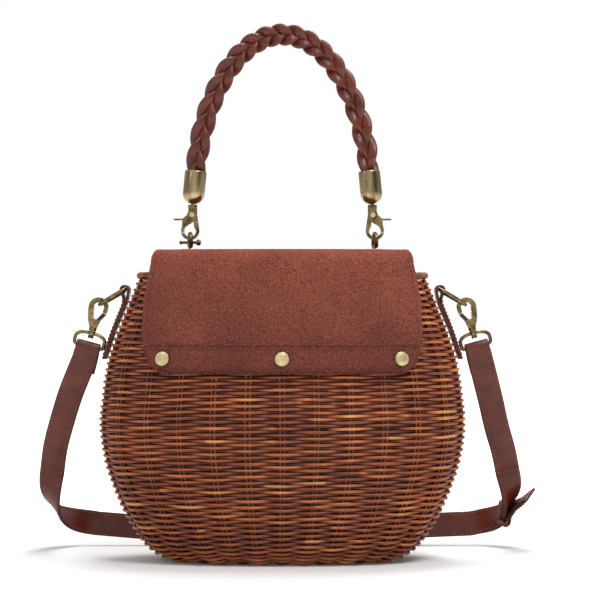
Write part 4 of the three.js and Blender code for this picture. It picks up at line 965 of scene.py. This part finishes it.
def make_snaps():
    """Round snap caps: a plain dished disc inside a dark groove and a rolled rim."""
    profile = [
        (0, 0), (SNAP_RADIUS * 0.98, 0), (SNAP_RADIUS, 0.5), (SNAP_RADIUS * 0.99, 1.1),
        (SNAP_RADIUS * 0.96, 1.45), (SNAP_RADIUS * 0.9, 1.66), (SNAP_RADIUS * 0.78, 1.74),
        (SNAP_RADIUS * 0.75, 1.6), (SNAP_RADIUS * 0.7, 1.58), (SNAP_RADIUS * 0.67, 1.72),
        (SNAP_RADIUS * 0.62, 1.8), (SNAP_RADIUS * 0.4, 1.84), (SNAP_RADIUS * 0.2, 1.86),
        (0.01, 1.87),
    ]
    ring = [
        (SNAP_RADIUS * 0.9, -0.3), (SNAP_RADIUS + 0.55, -0.3), (SNAP_RADIUS + 0.5, 0.15),
        (SNAP_RADIUS + 0.2, 0.4), (SNAP_RADIUS * 0.9, 0.4),
    ]
    height = FLAP_FRONT_BOTTOM + BAND_HEM + BAND_HEIGHT / 2
    for label, x in (("left", -SNAP_SPREAD), ("middle", 0), ("right", SNAP_SPREAD)):
        here, face = front_face(x, height, SNAP_LIFT)
        rotation = Vector((0, 0, 1)).rotation_difference(Vector(face)).to_matrix()
        cap = moved(turned(profile), here + face * 0.35, rotation)
        place_shape(cap, f"snap_cap_{label}", snap_brass, "brass", f"snap_{label}")
        collar = moved(turned(ring), here + face * 0.3, rotation)
        place_shape(collar, f"snap_collar_{label}", dark_metal, "brass")


make_weave()
make_shade_sheet()
make_stakes()
make_base()
make_rim()
make_flap()
make_flap_stitches()
make_snaps()


# Braided handle


def handle_middle(t):
    """Middle line of the handle from the left cap to the right one, and its direction."""
    foot_x = NECK_X + math.sin(CAP_LEAN) * (CAP_LENGTH - STRAND_INSERT)
    foot = CAP_BOTTOM + math.cos(CAP_LEAN) * (CAP_LENGTH - STRAND_INSERT)
    turn = math.pi - HANDLE_FOOT_ANGLE + t * (2 * HANDLE_FOOT_ANGLE - math.pi)
    wide = foot_x / math.cos(HANDLE_FOOT_ANGLE)
    low = math.sin(HANDLE_FOOT_ANGLE)
    rise = HANDLE_TOP - foot
    point = np.stack([
        np.cos(turn) * wide, np.zeros_like(t), foot + (np.sin(turn) - low) / (1 - low) * rise,
    ], axis=-1)
    along = unit(np.stack([
        np.sin(turn) * wide, np.zeros_like(t), -np.cos(turn) * rise / (1 - low),
    ], axis=-1))
    return point, along


def strand_line(phase, t):
    """One strand's middle line, and the sideways direction of the whole handle."""
    point, along = handle_middle(t)
    side = np.stack([-along[:, 2], np.zeros_like(t), along[:, 0]], axis=-1)
    grip = 0.8 + 0.2 * smoothstep(np.minimum(t, 1 - t) / 0.06)
    turn = phase + t * BRAID_TURNS * 2 * math.pi
    line = point + side * (np.sin(turn) * STRAND_SWAY * grip)[:, None]
    line[:, 1] += np.sin(2 * turn) * STRAND_WEAVE * grip
    return line, side, grip


def make_braid():
    """Three flat strands with rounded, stitched edges, plaited over and under."""
    t = np.linspace(0, 1, 330)
    for index in range(3):
        phase = index / 3 * 2 * math.pi
        line, side, grip = strand_line(phase, t)
        way = tangents(line)
        deep = np.broadcast_to(vec(0, 1, 0), line.shape)
        wide = unit(np.cross(deep, way))
        roll = -STRAND_TILT * np.cos(phase + t * BRAID_TURNS * 2 * math.pi)
        facing = unit(np.cross(way, wide))
        tilted_wide = wide * np.cos(roll)[:, None] + facing * np.sin(roll)[:, None]
        tilted_deep = unit(np.cross(way, tilted_wide))
        turn = np.arange(20) / 20 * 2 * math.pi
        bow = np.stack([
            np.sign(np.cos(turn)) * np.abs(np.cos(turn)) ** 0.85 * STRAND_HALF_WIDTH,
            np.sign(np.sin(turn)) * np.abs(np.sin(turn)) ** 0.75 * STRAND_HALF_THICKNESS,
        ], axis=-1)
        section = bow[None] * (0.9 + 0.1 * grip)[:, None, None]
        place_shape(
            sweep(line, tilted_wide, tilted_deep, section), f"braid_strand_{index + 1}",
            braid_leather, "leather", f"handle_strand_{index + 1}",
        )
        inside = (t > 0.035) & (t < 0.965)
        for name, edge in (("outer", 1), ("inner", -1)):
            for front, face_sign in (("front", -1), ("back", 1)):
                across = edge * STRAND_HALF_WIDTH * 0.72
                height = STRAND_HALF_THICKNESS * 0.72
                sign = face_sign * np.sign(tilted_deep[:, 1:2])
                seam = line + tilted_wide * across + tilted_deep * sign * height
                stitches(
                    f"braid_seam_{index + 1}_{name}_{front}", seam[inside],
                    (tilted_deep * sign)[inside], pitch=2.5, length=1.8, radius=0.22,
                    sink=0.05,
                )


def make_caps():
    """Domed brass caps that hold the ends of the braid."""
    r = CAP_RADIUS
    profile = [
        (1.9, 0), (r * 0.4, 0.15), (r * 0.62, 1.1), (r * 0.78, 2.4), (r * 0.9, 4.2),
        (r * 0.97, 6.2), (r, 8.4), (r, 9.4), (r, 24.2), (r * 0.985, 25.2), (r * 0.955, 25.9),
        (r * 0.92, 26), (r * 0.9, 25.6), (r * 0.89, 24), (r * 0.88, 10), (r * 0.6, 3.6),
        (1.9, 2.6), (1.9, 0),
    ]
    for label, side in SIDES:
        lean = Matrix.Rotation(side * CAP_LEAN, 4, "Y")
        cap = moved(turned(profile, 64), (side * NECK_X, 0, CAP_BOTTOM), lean)
        place_shape(cap, f"{label}_handle_cap", cap_brass, "brass", f"{label}_cap")
    # Two crimp dimples show on the right cap, near its left edge.
    lean = Matrix.Rotation(CAP_LEAN, 4, "Y")
    dimple = [(0.01, 0.12), (0.45, 0.1), (0.62, 0.0), (0.5, -0.2), (0.01, -0.2)]
    marks = Gathered()
    for height in (9.5, 18.5):
        turn = math.radians(212)
        out = Vector((math.cos(turn), math.sin(turn), 0))
        spot = lean @ (out * CAP_RADIUS + Vector((0, 0, height))) + Vector((NECK_X, 0, CAP_BOTTOM))
        facing = Vector((0, 0, 1)).rotation_difference(lean @ out).to_matrix()
        marks.add(moved(turned(dimple, 16), spot, facing))
    place_piece(facing_out(marks.made("right_cap_dimples", dark_metal)), "root", "brass")


def make_arches():
    """Wire arches that stand on washers on the flap's top."""
    turn = np.linspace(0, math.pi, 25)
    springing = ARCH_CROWN - ARCH_HALF_SPAN
    bow = np.stack([
        np.zeros(25), np.cos(turn) * ARCH_HALF_SPAN, springing + np.sin(turn) * ARCH_HALF_SPAN,
    ], axis=-1)
    y = np.linspace(-ARCH_HALF_SPAN, ARCH_HALF_SPAN, 9)
    foot = np.stack([np.zeros(9), y, np.full(9, ARCH_FOOT + ARCH_WIRE)], axis=-1)
    arch = wire(np.concatenate([bow, foot]), ARCH_WIRE, vec(1, 0, 0))
    spin = Matrix.Rotation(math.radians(ARCH_TURN_DEG), 4, "Z")
    top = FLAP_TOP + 0.3
    washer = turned([
        (0.01, top), (6.5, top), (6.7, top + 0.25), (6.65, top + 0.7), (6.3, top + 0.95),
        (5.6, top + 0.85), (0.01, top + 0.85),
    ])
    for label, side in SIDES:
        place = (side * CLASP_OFFSET, 0, 0)
        place_shape(moved(arch, place, spin), f"{label}_arch_wire", brass, "brass", f"{label}_arch")
        place_shape(
            moved(washer, place), f"{label}_arch_washer", snap_brass, "brass", f"{label}_washer",
        )


def make_pin():
    """The screw pin across the foot of the left arch: a knurled knob and a ball end."""
    ball = [(0.01, -8.7), (0.8, -8.5), (1.35, -7.9), (1.5, -7.2), (1.3, -6.3), (1.1, -5.7)]
    shank = [(1.1, 4.7), (1.6, 4.9), (2.45, 5.3)]
    knurls = [(2.5 if step % 2 else 2.25, 5.4 + step * 0.22) for step in range(11)]
    tip = [(2.2, 7.9), (1.3, 8.4), (0.01, 8.45)]
    place = (-CLASP_OFFSET, 0, FLAP_TOP + 0.9 + 2 * ARCH_WIRE + 0.9 + 1.1)
    lying = Matrix.Rotation(math.pi / 2, 4, "Y")
    pin = moved(turned(ball + shank + knurls + tip, 24), place, lying)
    place_shape(pin, "left_screw_pin", brass, "brass", "left_arch_pin")


# Tabs, D-rings and strap rings


def half_turn(shape, side):
    """The right side's shape, or the same turned half round for the left side."""
    points, quads, triangles = shape
    if side > 0:
        return shape
    return points * vec(-1, -1, 1), quads, triangles


def hook_grip():
    lean = math.radians(HOOK_LEAN_DEG)
    return (
        HOOK_X - math.sin(lean) * HOOK_GRIP_ALONG - math.cos(lean) * HOOK_GRIP_SHIFT,
        HOOK_Z + math.cos(lean) * HOOK_GRIP_ALONG - math.sin(lean) * HOOK_GRIP_SHIFT,
    )


def make_tabs():
    """Leather tabs, doubled over the D-ring's bar and stitched along both edges."""
    heights = np.linspace(TAB_BOTTOM, TAB_TOP - 4, 26)
    widths = np.array([straight_profile(h)[0] for h in heights])
    inner_x = widths + TAB_SEAT + TAB_PLY / 2
    outer_x = widths + TAB_SEAT + TAB_PLY * 1.5
    wrap = RING_WIRE + 0.7 + TAB_PLY / 2
    round_bar = np.radians(np.linspace(205, -25, 18))
    bend = np.stack([
        TAB_LOOP_OFFSET + np.cos(round_bar) * wrap, np.zeros(18),
        TAB_TOP + np.sin(round_bar) * wrap,
    ], axis=-1)
    inner = np.stack([inner_x, np.zeros(26), heights], axis=-1)
    outer = np.stack([outer_x, np.zeros(26), heights], axis=-1)[::-1]
    path = np.concatenate([inner[:-2], bend, outer[2:]])
    path = smooth_line(path, 110)
    wide = np.broadcast_to(vec(0, 1, 0), path.shape)
    deep = unit(np.cross(tangents(path), wide))
    section = flat_section(TAB_WIDTH / 2, TAB_PLY / 2, 0.6)
    outside = (path[:, 2] < TAB_TOP - 5) & (np.arange(len(path)) > 55)
    tab = sweep(path, wide, deep, section)
    for label, side in SIDES:
        place_shape(
            half_turn(tab, side), f"{label}_leather_tab", strap_leather, "leather", f"{label}_tab",
        )
        for edge, shift in (("front", -1), ("back", 1)):
            seam = path[outside] + vec(0, shift * (TAB_WIDTH / 2 - TAB_SEAM_INSET), 0)
            out = -deep[outside] * np.sign(deep[outside][:, 0:1])
            seam = seam - out * TAB_PLY / 2
            if side < 0:
                seam = seam * vec(-1, -1, 1)
                out = out * vec(-1, -1, 1)
            stitches(f"{label}_tab_seam_{edge}", seam, -out)


def smooth_line(points, count):
    """Even steps along a path, with its corners softened."""
    points = np.asarray(points, float)
    for _ in range(2):
        inner = (points[:-2] + 2 * points[1:-1] + points[2:]) / 4
        points = np.concatenate([points[:1], inner, points[-1:]])
    run = np.concatenate([[0], np.cumsum(np.linalg.norm(np.diff(points, axis=0), axis=1))])
    spots = np.linspace(0, run[-1], count)
    return np.stack([np.interp(spots, run, points[:, axis]) for axis in range(3)], axis=-1)


def make_d_rings():
    x, z = hook_grip()
    reach = vec(x - TAB_LOOP_OFFSET, 0, z - TAB_TOP)
    turn = np.linspace(0, math.pi, 49)
    points = (
        vec(TAB_LOOP_OFFSET, 0, TAB_TOP)
        + np.outer(np.cos(turn), vec(0, DRING_HALF_WIDTH, 0))
        + np.outer(np.sin(turn) ** 0.75, reach)
    )
    bar = points[-1] + np.linspace(0.04, 0.96, 12)[:, None] * (points[0] - points[-1])
    way = unit(reach)
    across = vec(way[2], 0, -way[0])
    ring = wire(np.concatenate([points, bar]), RING_WIRE, across)
    for label, side in SIDES:
        place_shape(half_turn(ring, side), f"{label}_dee", brass, "brass", f"{label}_d_ring")


def make_strap_rings():
    """Oval rings with a round boss that the hook's post turns in."""
    turn = np.linspace(0, 2 * math.pi, 97)
    c, s = np.cos(turn), np.sin(turn)
    bend = 2 / np.where(s > 0, 2.4, 6)
    oval = np.stack([
        np.sign(c) * np.abs(c) ** bend * RING_HALF_WIDTH, np.zeros(97),
        np.sign(s) * np.abs(s) ** bend * RING_HALF_HEIGHT - RING_HALF_HEIGHT,
    ], axis=-1)
    oval = smooth_line(oval, 97)[:-1]
    boss = [
        (1.75, -1.7), (2.7, -1.7), (2.9, -1.4), (2.9, 1.4), (2.7, 1.7), (1.75, 1.7), (1.75, -1.7),
    ]
    lean = Matrix.Rotation(-math.radians(HOOK_LEAN_DEG), 4, "Y")
    for label, side in SIDES:
        ring = Gathered()
        for shape in (wire(oval, STRAP_RING_WIRE, vec(0, 1, 0)), turned(boss, 28)):
            ring.add(half_turn(moved(shape, (HOOK_X, 0, HOOK_Z), lean), side))
        place_piece(ring.made(f"{label}_oval_ring", brass), "root", "brass", f"{label}_strap_ring")


# Strap


def centripetal(points, samples):
    """A smooth curve through points, at shares of its point count."""
    points = np.asarray(points, float)
    out = []
    last = len(points) - 1
    for share in samples:
        spot = share * last
        index = min(int(spot), last - 1)
        t = spot - index
        p1, p2 = points[index], points[index + 1]
        p0 = points[index - 1] if index > 0 else 2 * points[0] - points[1]
        p3 = points[index + 2] if index + 2 <= last else 2 * points[last] - points[last - 1]
        d0, d1, d2 = (
            max(np.sum((b - a) ** 2) ** 0.25, 1e-4) for a, b in ((p0, p1), (p1, p2), (p2, p3))
        )
        start = (p1 - p0) / d0 - (p2 - p0) / (d0 + d1) + (p2 - p1) / d1
        end = (p2 - p1) / d1 - (p3 - p1) / (d1 + d2) + (p3 - p2) / d2
        start, end = start * d1, end * d1
        a = 2 * p1 - 2 * p2 + start + end
        b = -3 * p1 + 3 * p2 - 2 * start - end
        out.append(((a * t + b) * t + start) * t + p1)
    return np.array(out)


class Run:
    """Stations along a strap: middle points, width directions and widths."""

    def __init__(self):
        self.points = []
        self.wides = []
        self.widths = []

    def add(self, point, wide, width=STRAP_WIDTH):
        self.points.append(np.asarray(point, float))
        self.wides.append(np.asarray(wide, float))
        self.widths.append(width)


def joined(*runs):
    """One strap's stations from those of its stretches."""
    whole = Run()
    for run in runs:
        whole.points += run.points
        whole.wides += run.wides
        whole.widths += run.widths
    return whole


def fall_run(side, fall, lean_deg):
    """The fold round the ring's bar and the hanging strap below it."""
    lean = math.radians(HOOK_LEAN_DEG)
    drop = 2 * RING_HALF_HEIGHT
    bar = vec(side * (HOOK_X + math.sin(lean) * drop), 0, HOOK_Z - math.cos(lean) * drop)
    up = vec(-side * math.sin(lean), 0, math.cos(lean))
    wide = vec(math.cos(lean), 0, side * math.sin(lean))
    wrap = STRAP_RING_WIRE + 0.6 + STRAP_THICKNESS / 2
    ply = (STRAP_THICKNESS + 0.3) / 2
    run = Run()

    def spot(y, along, width):
        run.add(bar + up * along + vec(0, y, 0), wide, width)

    spot(3 * ply, -STRAP_FOLD_LENGTH, STRAP_WIDTH)
    spot(3 * ply, -STRAP_FOLD_LENGTH * 0.65, STRAP_WIDTH)
    spot(2 * ply, -STRAP_FOLD_LENGTH * 0.35, STRAP_WIDTH)
    spot(wrap, -wrap * 0.6, STRAP_FOLD_WIDTH)
    for turn in range(0, 181, 15):
        turned_by = math.radians(turn)
        spot(math.cos(turned_by) * wrap, math.sin(turned_by) * wrap, STRAP_FOLD_WIDTH)
    spot(-wrap, -wrap * 0.6, STRAP_FOLD_WIDTH)
    spot(-ply, -STRAP_FOLD_LENGTH * 0.35, STRAP_WIDTH)
    middle = [
        vec(side * (HOOK_X + FALL_OUT * out), FALL_BACK * back, HOOK_Z * (1 - down))
        for out, back, down in fall
    ]
    entry = bar + up * (-STRAP_FOLD_LENGTH * 0.45) + vec(0, -ply * 0.4, 0)
    shares = np.linspace(2 / 12, 1, 26)
    lean_end = math.radians(lean_deg)
    wide_end = vec(math.cos(lean_end), 0, side * math.sin(lean_end))
    for share, point in zip(shares, centripetal([run.points[-1], entry, *middle], shares)):
        run.add(point, wide + (wide_end - wide) * share)
    return run


def roll_run(side, start, roll):
    """The half turn that stands the strap on its edge."""
    radius, lean_deg = roll
    lean = Matrix.Rotation(-side * math.radians(lean_deg), 3, "Y")
    axis = np.array(lean @ Vector((-side, 0, -1)).normalized())
    out = np.array(lean @ Vector((side, 0, -1)).normalized())
    run = Run()
    for turn in np.linspace(0, math.pi, 57)[1:]:
        round_way = out * math.cos(turn) + vec(0, math.sin(turn), 0)
        point = (
            start + axis * radius * turn + out * radius * math.sin(turn)
            + vec(0, radius * (1 - math.cos(turn)), 0)
        )
        run.add(point, unit(axis - round_way) * -side)
    return run


def smooth_run(points, wides, steps):
    run = Run()
    shares = np.linspace(0, 1, steps + 1)[1:]
    for share, point in zip(shares, centripetal(points, shares)):
        turn = smoothstep(share / 0.6)
        run.add(point, wides[0] + (wides[1] - wides[0]) * turn)
    return run


def strap_frame(run):
    """Path, width direction, thickness direction and widths of a strap."""
    path = np.array(run.points)
    way = tangents(path)
    wide = np.array(run.wides)
    wide = unit(wide - way * np.sum(wide * way, axis=1, keepdims=True))
    return path, wide, unit(np.cross(way, wide)), np.array(run.widths)


# Faces of a strap's section that are painted: its rounded edges
PAINTED_FACES = [0, 1, 5, 6, 7, 8, 9, 13, 14, 15]


def make_strap(name, run, node):
    """A flat strap with painted round edges, four rows of stitches and a cross seam."""
    path, wide, deep, widths = strap_frame(run)
    section = np.array([flat_section(width / 2, STRAP_THICKNESS / 2, 0.95) for width in widths])
    strap = Gathered()
    strap.add(sweep(path, wide, deep, section))
    piece = facing_out(strap.made(name, strap_leather))
    piece.data.materials.append(edge_paint)
    count = section.shape[1]
    sides = np.arange((len(path) - 1) * count) % count
    slots = np.zeros(len(piece.data.polygons), int)
    slots[: len(sides)] = np.isin(sides, PAINTED_FACES)
    piece.data.polygons.foreach_set("material_index", slots)
    place_piece(piece, "root", "leather", node)
    keep = slice(16, len(path) - 1)
    for edge, across in (("near", -1), ("far", 1)):
        for face, sign in (("front", -1), ("back", 1)):
            seam = (
                path + wide * (across * (widths / 2 - STRAP_SEAM_INSET))[:, None]
                + deep * (sign * STRAP_THICKNESS / 2)
            )
            stitches(f"{name}_seam_{edge}_{face}", seam[keep], (deep * sign)[keep])
    below = 17 + int(np.argmin(np.abs(path[17, 2] - path[17:40, 2] - CROSS_SEAM_DROP)))
    front = deep[below] * -np.sign(deep[below][1])
    reach = STRAP_WIDTH / 2 - STRAP_SEAM_INSET
    across = wide[below] * np.linspace(-1, 1, 24)[:, None] * reach
    seam = path[below] + across + front * STRAP_THICKNESS / 2
    stitches(f"{name}_cross_seam", seam, np.broadcast_to(front, seam.shape))


left_fall = fall_run(-1, LEFT_FALL, LEFT_ROLL[1])
left_roll = roll_run(-1, left_fall.points[-1], LEFT_ROLL)
right_fall = fall_run(1, RIGHT_FALL, RIGHT_ROLL[1])
right_roll = roll_run(1, right_fall.points[-1], RIGHT_ROLL)
back_y = right_roll.points[-1][1]
back_run = smooth_run([
    right_roll.points[-1],
    vec(right_roll.points[-1][0] * 0.55, back_y, (right_roll.points[-1][2] + BACK_HEIGHT) / 2),
    vec(SLIDE_X + 2 * SLIDE_LENGTH, back_y, BACK_HEIGHT),
    vec(SLIDE_X - SLIDE_LENGTH, back_y, BACK_HEIGHT),
], [right_roll.wides[-1], vec(0, 0, 1)], 34)


def make_outer_layer():
    """The doubled stretch: the short part's stations stepped outwards, slide to keeper."""
    points = np.array((right_roll.points[KEEPER_STEP * 4 - 1:] + back_run.points)[::-1])
    wides = np.array((right_roll.wides[KEEPER_STEP * 4 - 1:] + back_run.wides)[::-1])
    way = tangents(points)
    wide = unit(wides - way * np.sum(wides * way, axis=1, keepdims=True))
    outer = unit(np.cross(wide, way))
    outer *= np.where(outer[:, 1:2] < 0, -1, 1)
    return points + outer * LAYER_STEP, wide, way, outer


layer_points, layer_wide, layer_way, layer_outer = make_outer_layer()


def make_long_strap():
    """Left fall, left roll, the stretch behind the bag, the outer layer and the free tail."""
    end = left_roll.points[-1]
    first = layer_points[0]
    across = smooth_run(
        [end, vec(end[0] * 0.5, (end[1] + first[1]) / 2, BACK_HEIGHT), first],
        [left_roll.wides[-1], vec(0, 0, -1)], 40,
    )
    for point in across.points:
        point[2] = max(point[2], BACK_HEIGHT - 1.8)
    run = joined(left_fall, left_roll, across)
    for point, wide in zip(layer_points[1:], layer_wide[1:]):
        run.add(point, -wide)
    way = layer_way[-1]
    flat = unit(vec(0, 1, 0) - way * way[1])
    along, twist = np.array(TAIL_TWIST).T
    for share in np.linspace(0, 1, 19)[1:]:
        turn = np.interp(share, along, twist)
        run.add(
            layer_points[-1] + way * TAIL_PAST_KEEPER * share + vec(0, 0, TAIL_LIFT * share ** 2),
            -(layer_wide[-1] + (flat - layer_wide[-1]) * turn),
        )
    make_strap("shoulder_strap_long", run, "strap_long")


def band_round(centre, along, wide, layers, wall, length):
    """A closed band round the strap's layers, as a looped sweep of its wall's section."""
    face = unit(np.cross(along, wide))
    half_high = STRAP_WIDTH / 2 + 0.3 + wall / 2
    half_deep = (layers * LAYER_STEP + 0.3) / 2 + wall / 2
    corner = min(half_deep, 2.2)
    outline = flat_section(half_high, half_deep, corner, 7)
    path = np.array([centre + wide * w + face * d for w, d in outline])
    along_all = np.broadcast_to(along, path.shape)
    out = unit(np.cross(tangents(path, looped=True), along_all))
    section = flat_section(length / 2, wall / 2, min(0.55, wall / 2 - 0.05))
    return sweep(path, along_all, out, section, looped=True), path, out


def make_slide():
    centre = vec(SLIDE_X, back_y + LAYER_STEP / 2, BACK_HEIGHT)
    shape, _, _ = band_round(centre, vec(1, 0, 0), vec(0, 0, 1), 2, 1.6, SLIDE_LENGTH)
    place_shape(shape, "strap_slide_loop", brass, "brass", "strap_slide")


def make_keeper():
    centre = layer_points[-1] - layer_outer[-1] * LAYER_STEP / 2
    shape, path, out = band_round(
        centre, layer_way[-1], layer_wide[-1], KEEPER_LAYERS, 1.4, KEEPER_LENGTH,
    )
    place_shape(shape, "strap_keeper_loop", strap_leather, "leather", "strap_keeper")
    loop = np.concatenate([path, path[:2]])
    face = np.concatenate([out, out[:2]])
    if np.sum((path - centre) * out) < 0:
        face = -face
    for edge, shift in (("near", -1.5), ("far", 1.5)):
        stitches(f"keeper_seam_{edge}", loop + layer_way[-1] * shift + face * 0.7, face,
                 pitch=2.6, length=1.8, radius=0.28)


def dress_hardware():
    """Bevels and antique brass for the hooks and clasps that keep their own solids."""
    for label in ("left", "right"):
        for part, width, finish in (
            ("clasp", 0.45, brass), ("clasp_lever", 0.4, brass), ("clasp_rivet", 0.3, snap_brass),
            ("hook", 0.7, brass), ("hook_gate", 0.35, dark_metal), ("hook_pin", 0.2, brass),
        ):
            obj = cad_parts[f"{label}_{part}"]
            obj.data.materials.clear()
            obj.data.materials.append(finish)
            bevel(obj, width, angle=40)


make_braid()
make_caps()
make_arches()
make_pin()
make_tabs()
make_d_rings()
make_strap_rings()
make_long_strap()
make_strap("shoulder_strap_short", joined(right_fall, right_roll, back_run), "strap_short")
make_slide()
make_keeper()
dress_hardware()


# Studio


def make_floor():
    """A white floor whose own glow sets in away from the bag, so it has no horizon."""
    material, tree, shader, place = new_material("white floor")
    shader.inputs["Base Color"].default_value = (0.9, 0.9, 0.9, 1)
    shader.inputs["Roughness"].default_value = 0.9
    shader.inputs["Specular IOR Level"].default_value = 0.1
    away = add(tree, "ShaderNodeVectorMath", {0: place}, operation="LENGTH")
    glow = add(tree, "ShaderNodeMapRange", {
        "Value": away.outputs["Value"], "From Min": 0.14, "From Max": 0.7,
        "To Min": 0.04, "To Max": 1.0,
    }, interpolation_type="SMOOTHSTEP")
    shader.inputs["Emission Color"].default_value = (1, 1, 1, 1)
    tree.links.new(glow.outputs[0], shader.inputs["Emission Strength"])
    bpy.ops.mesh.primitive_plane_add(size=40, location=(0, 0, 0))
    floor = bpy.context.object
    floor.name = "studio_floor"
    floor.data.materials.append(material)


def make_surroundings():
    """White walls with two dark panels in front, which the brass mirrors at its flanks."""
    world = bpy.data.worlds.new("studio")
    bpy.context.scene.world = world
    world.use_nodes = True
    tree = world.node_tree
    background = tree.nodes["Background"]
    way = tree.nodes.new("ShaderNodeTexCoord").outputs["Generated"]
    parts = add(tree, "ShaderNodeSeparateXYZ", {0: way})
    sideways = add(tree, "ShaderNodeMath", {0: parts.outputs[0]}, operation="ABSOLUTE")
    panels = add(tree, "ShaderNodeValToRGB", {"Fac": sideways.outputs[0]})
    stops = panels.color_ramp.elements
    stops[0].color = (1, 1, 1, 1)
    stops[1].color = (1, 1, 1, 1)
    for place, level in ((0.4, 0.95), (0.58, 0.1), (0.88, 0.08), (0.97, 0.7)):
        stops.new(place).color = (level, level, level, 1)
    behind = add(tree, "ShaderNodeMapRange", {
        "Value": parts.outputs[1], "From Min": -0.2, "From Max": 0.2,
    })
    ring = add(tree, "ShaderNodeMix", {0: behind.outputs[0], 2: panels.outputs[0], 3: 0.6})
    above = add(tree, "ShaderNodeMapRange", {
        "Value": parts.outputs[2], "From Min": 0.35, "From Max": 0.8,
    })
    shade = add(tree, "ShaderNodeMix", {0: above.outputs[0], 2: ring.outputs[0], 3: 1.3})
    path = tree.nodes.new("ShaderNodeLightPath")
    soft = add(tree, "ShaderNodeMath", {0: shade.outputs[0], 1: 0.42}, operation="MULTIPLY")
    lit = add(tree, "ShaderNodeMix", {
        0: path.outputs["Is Glossy Ray"], 2: soft.outputs[0], 3: shade.outputs[0],
    })
    level = add(tree, "ShaderNodeMix", {
        0: path.outputs["Is Camera Ray"], 2: lit.outputs[0], 3: 1.0,
    })
    tree.links.new(level.outputs[0], background.inputs["Strength"])
    background.inputs["Color"].default_value = (1, 1, 1, 1)


def make_lights():
    for name, place, size, energy in (
        ("key box", (0.5, -0.75, 1.5), 0.6, 14),
        ("fill box", (-1.2, -1.0, 0.8), 0.7, 2.5),
        ("top box", (0.1, 0.3, 1.6), 0.7, 18),
    ):
        light = bpy.data.lights.new(name, "AREA")
        light.shape = "SQUARE"
        light.size = size
        light.energy = energy
        lamp = bpy.data.objects.new(name, light)
        lamp.location = place
        aim = Vector(LIGHT_AIM) - Vector(place)
        lamp.rotation_euler = aim.to_track_quat("-Z", "Y").to_euler()
        bpy.context.scene.collection.objects.link(lamp)


def make_camera():
    camera_data = bpy.data.cameras.new("camera")
    camera_data.sensor_width = CAMERA_SENSOR
    camera_data.lens = CAMERA_LENS
    camera_data.clip_end = 100
    camera = bpy.data.objects.new("camera", camera_data)
    camera.location = CAMERA_PLACE
    camera.rotation_euler = (math.pi / 2, 0, 0)
    bpy.context.scene.collection.objects.link(camera)
    bpy.context.scene.camera = camera
    bpy.context.scene.view_settings.view_transform = "Standard"


make_floor()
make_surroundings()
make_lights()
make_camera()
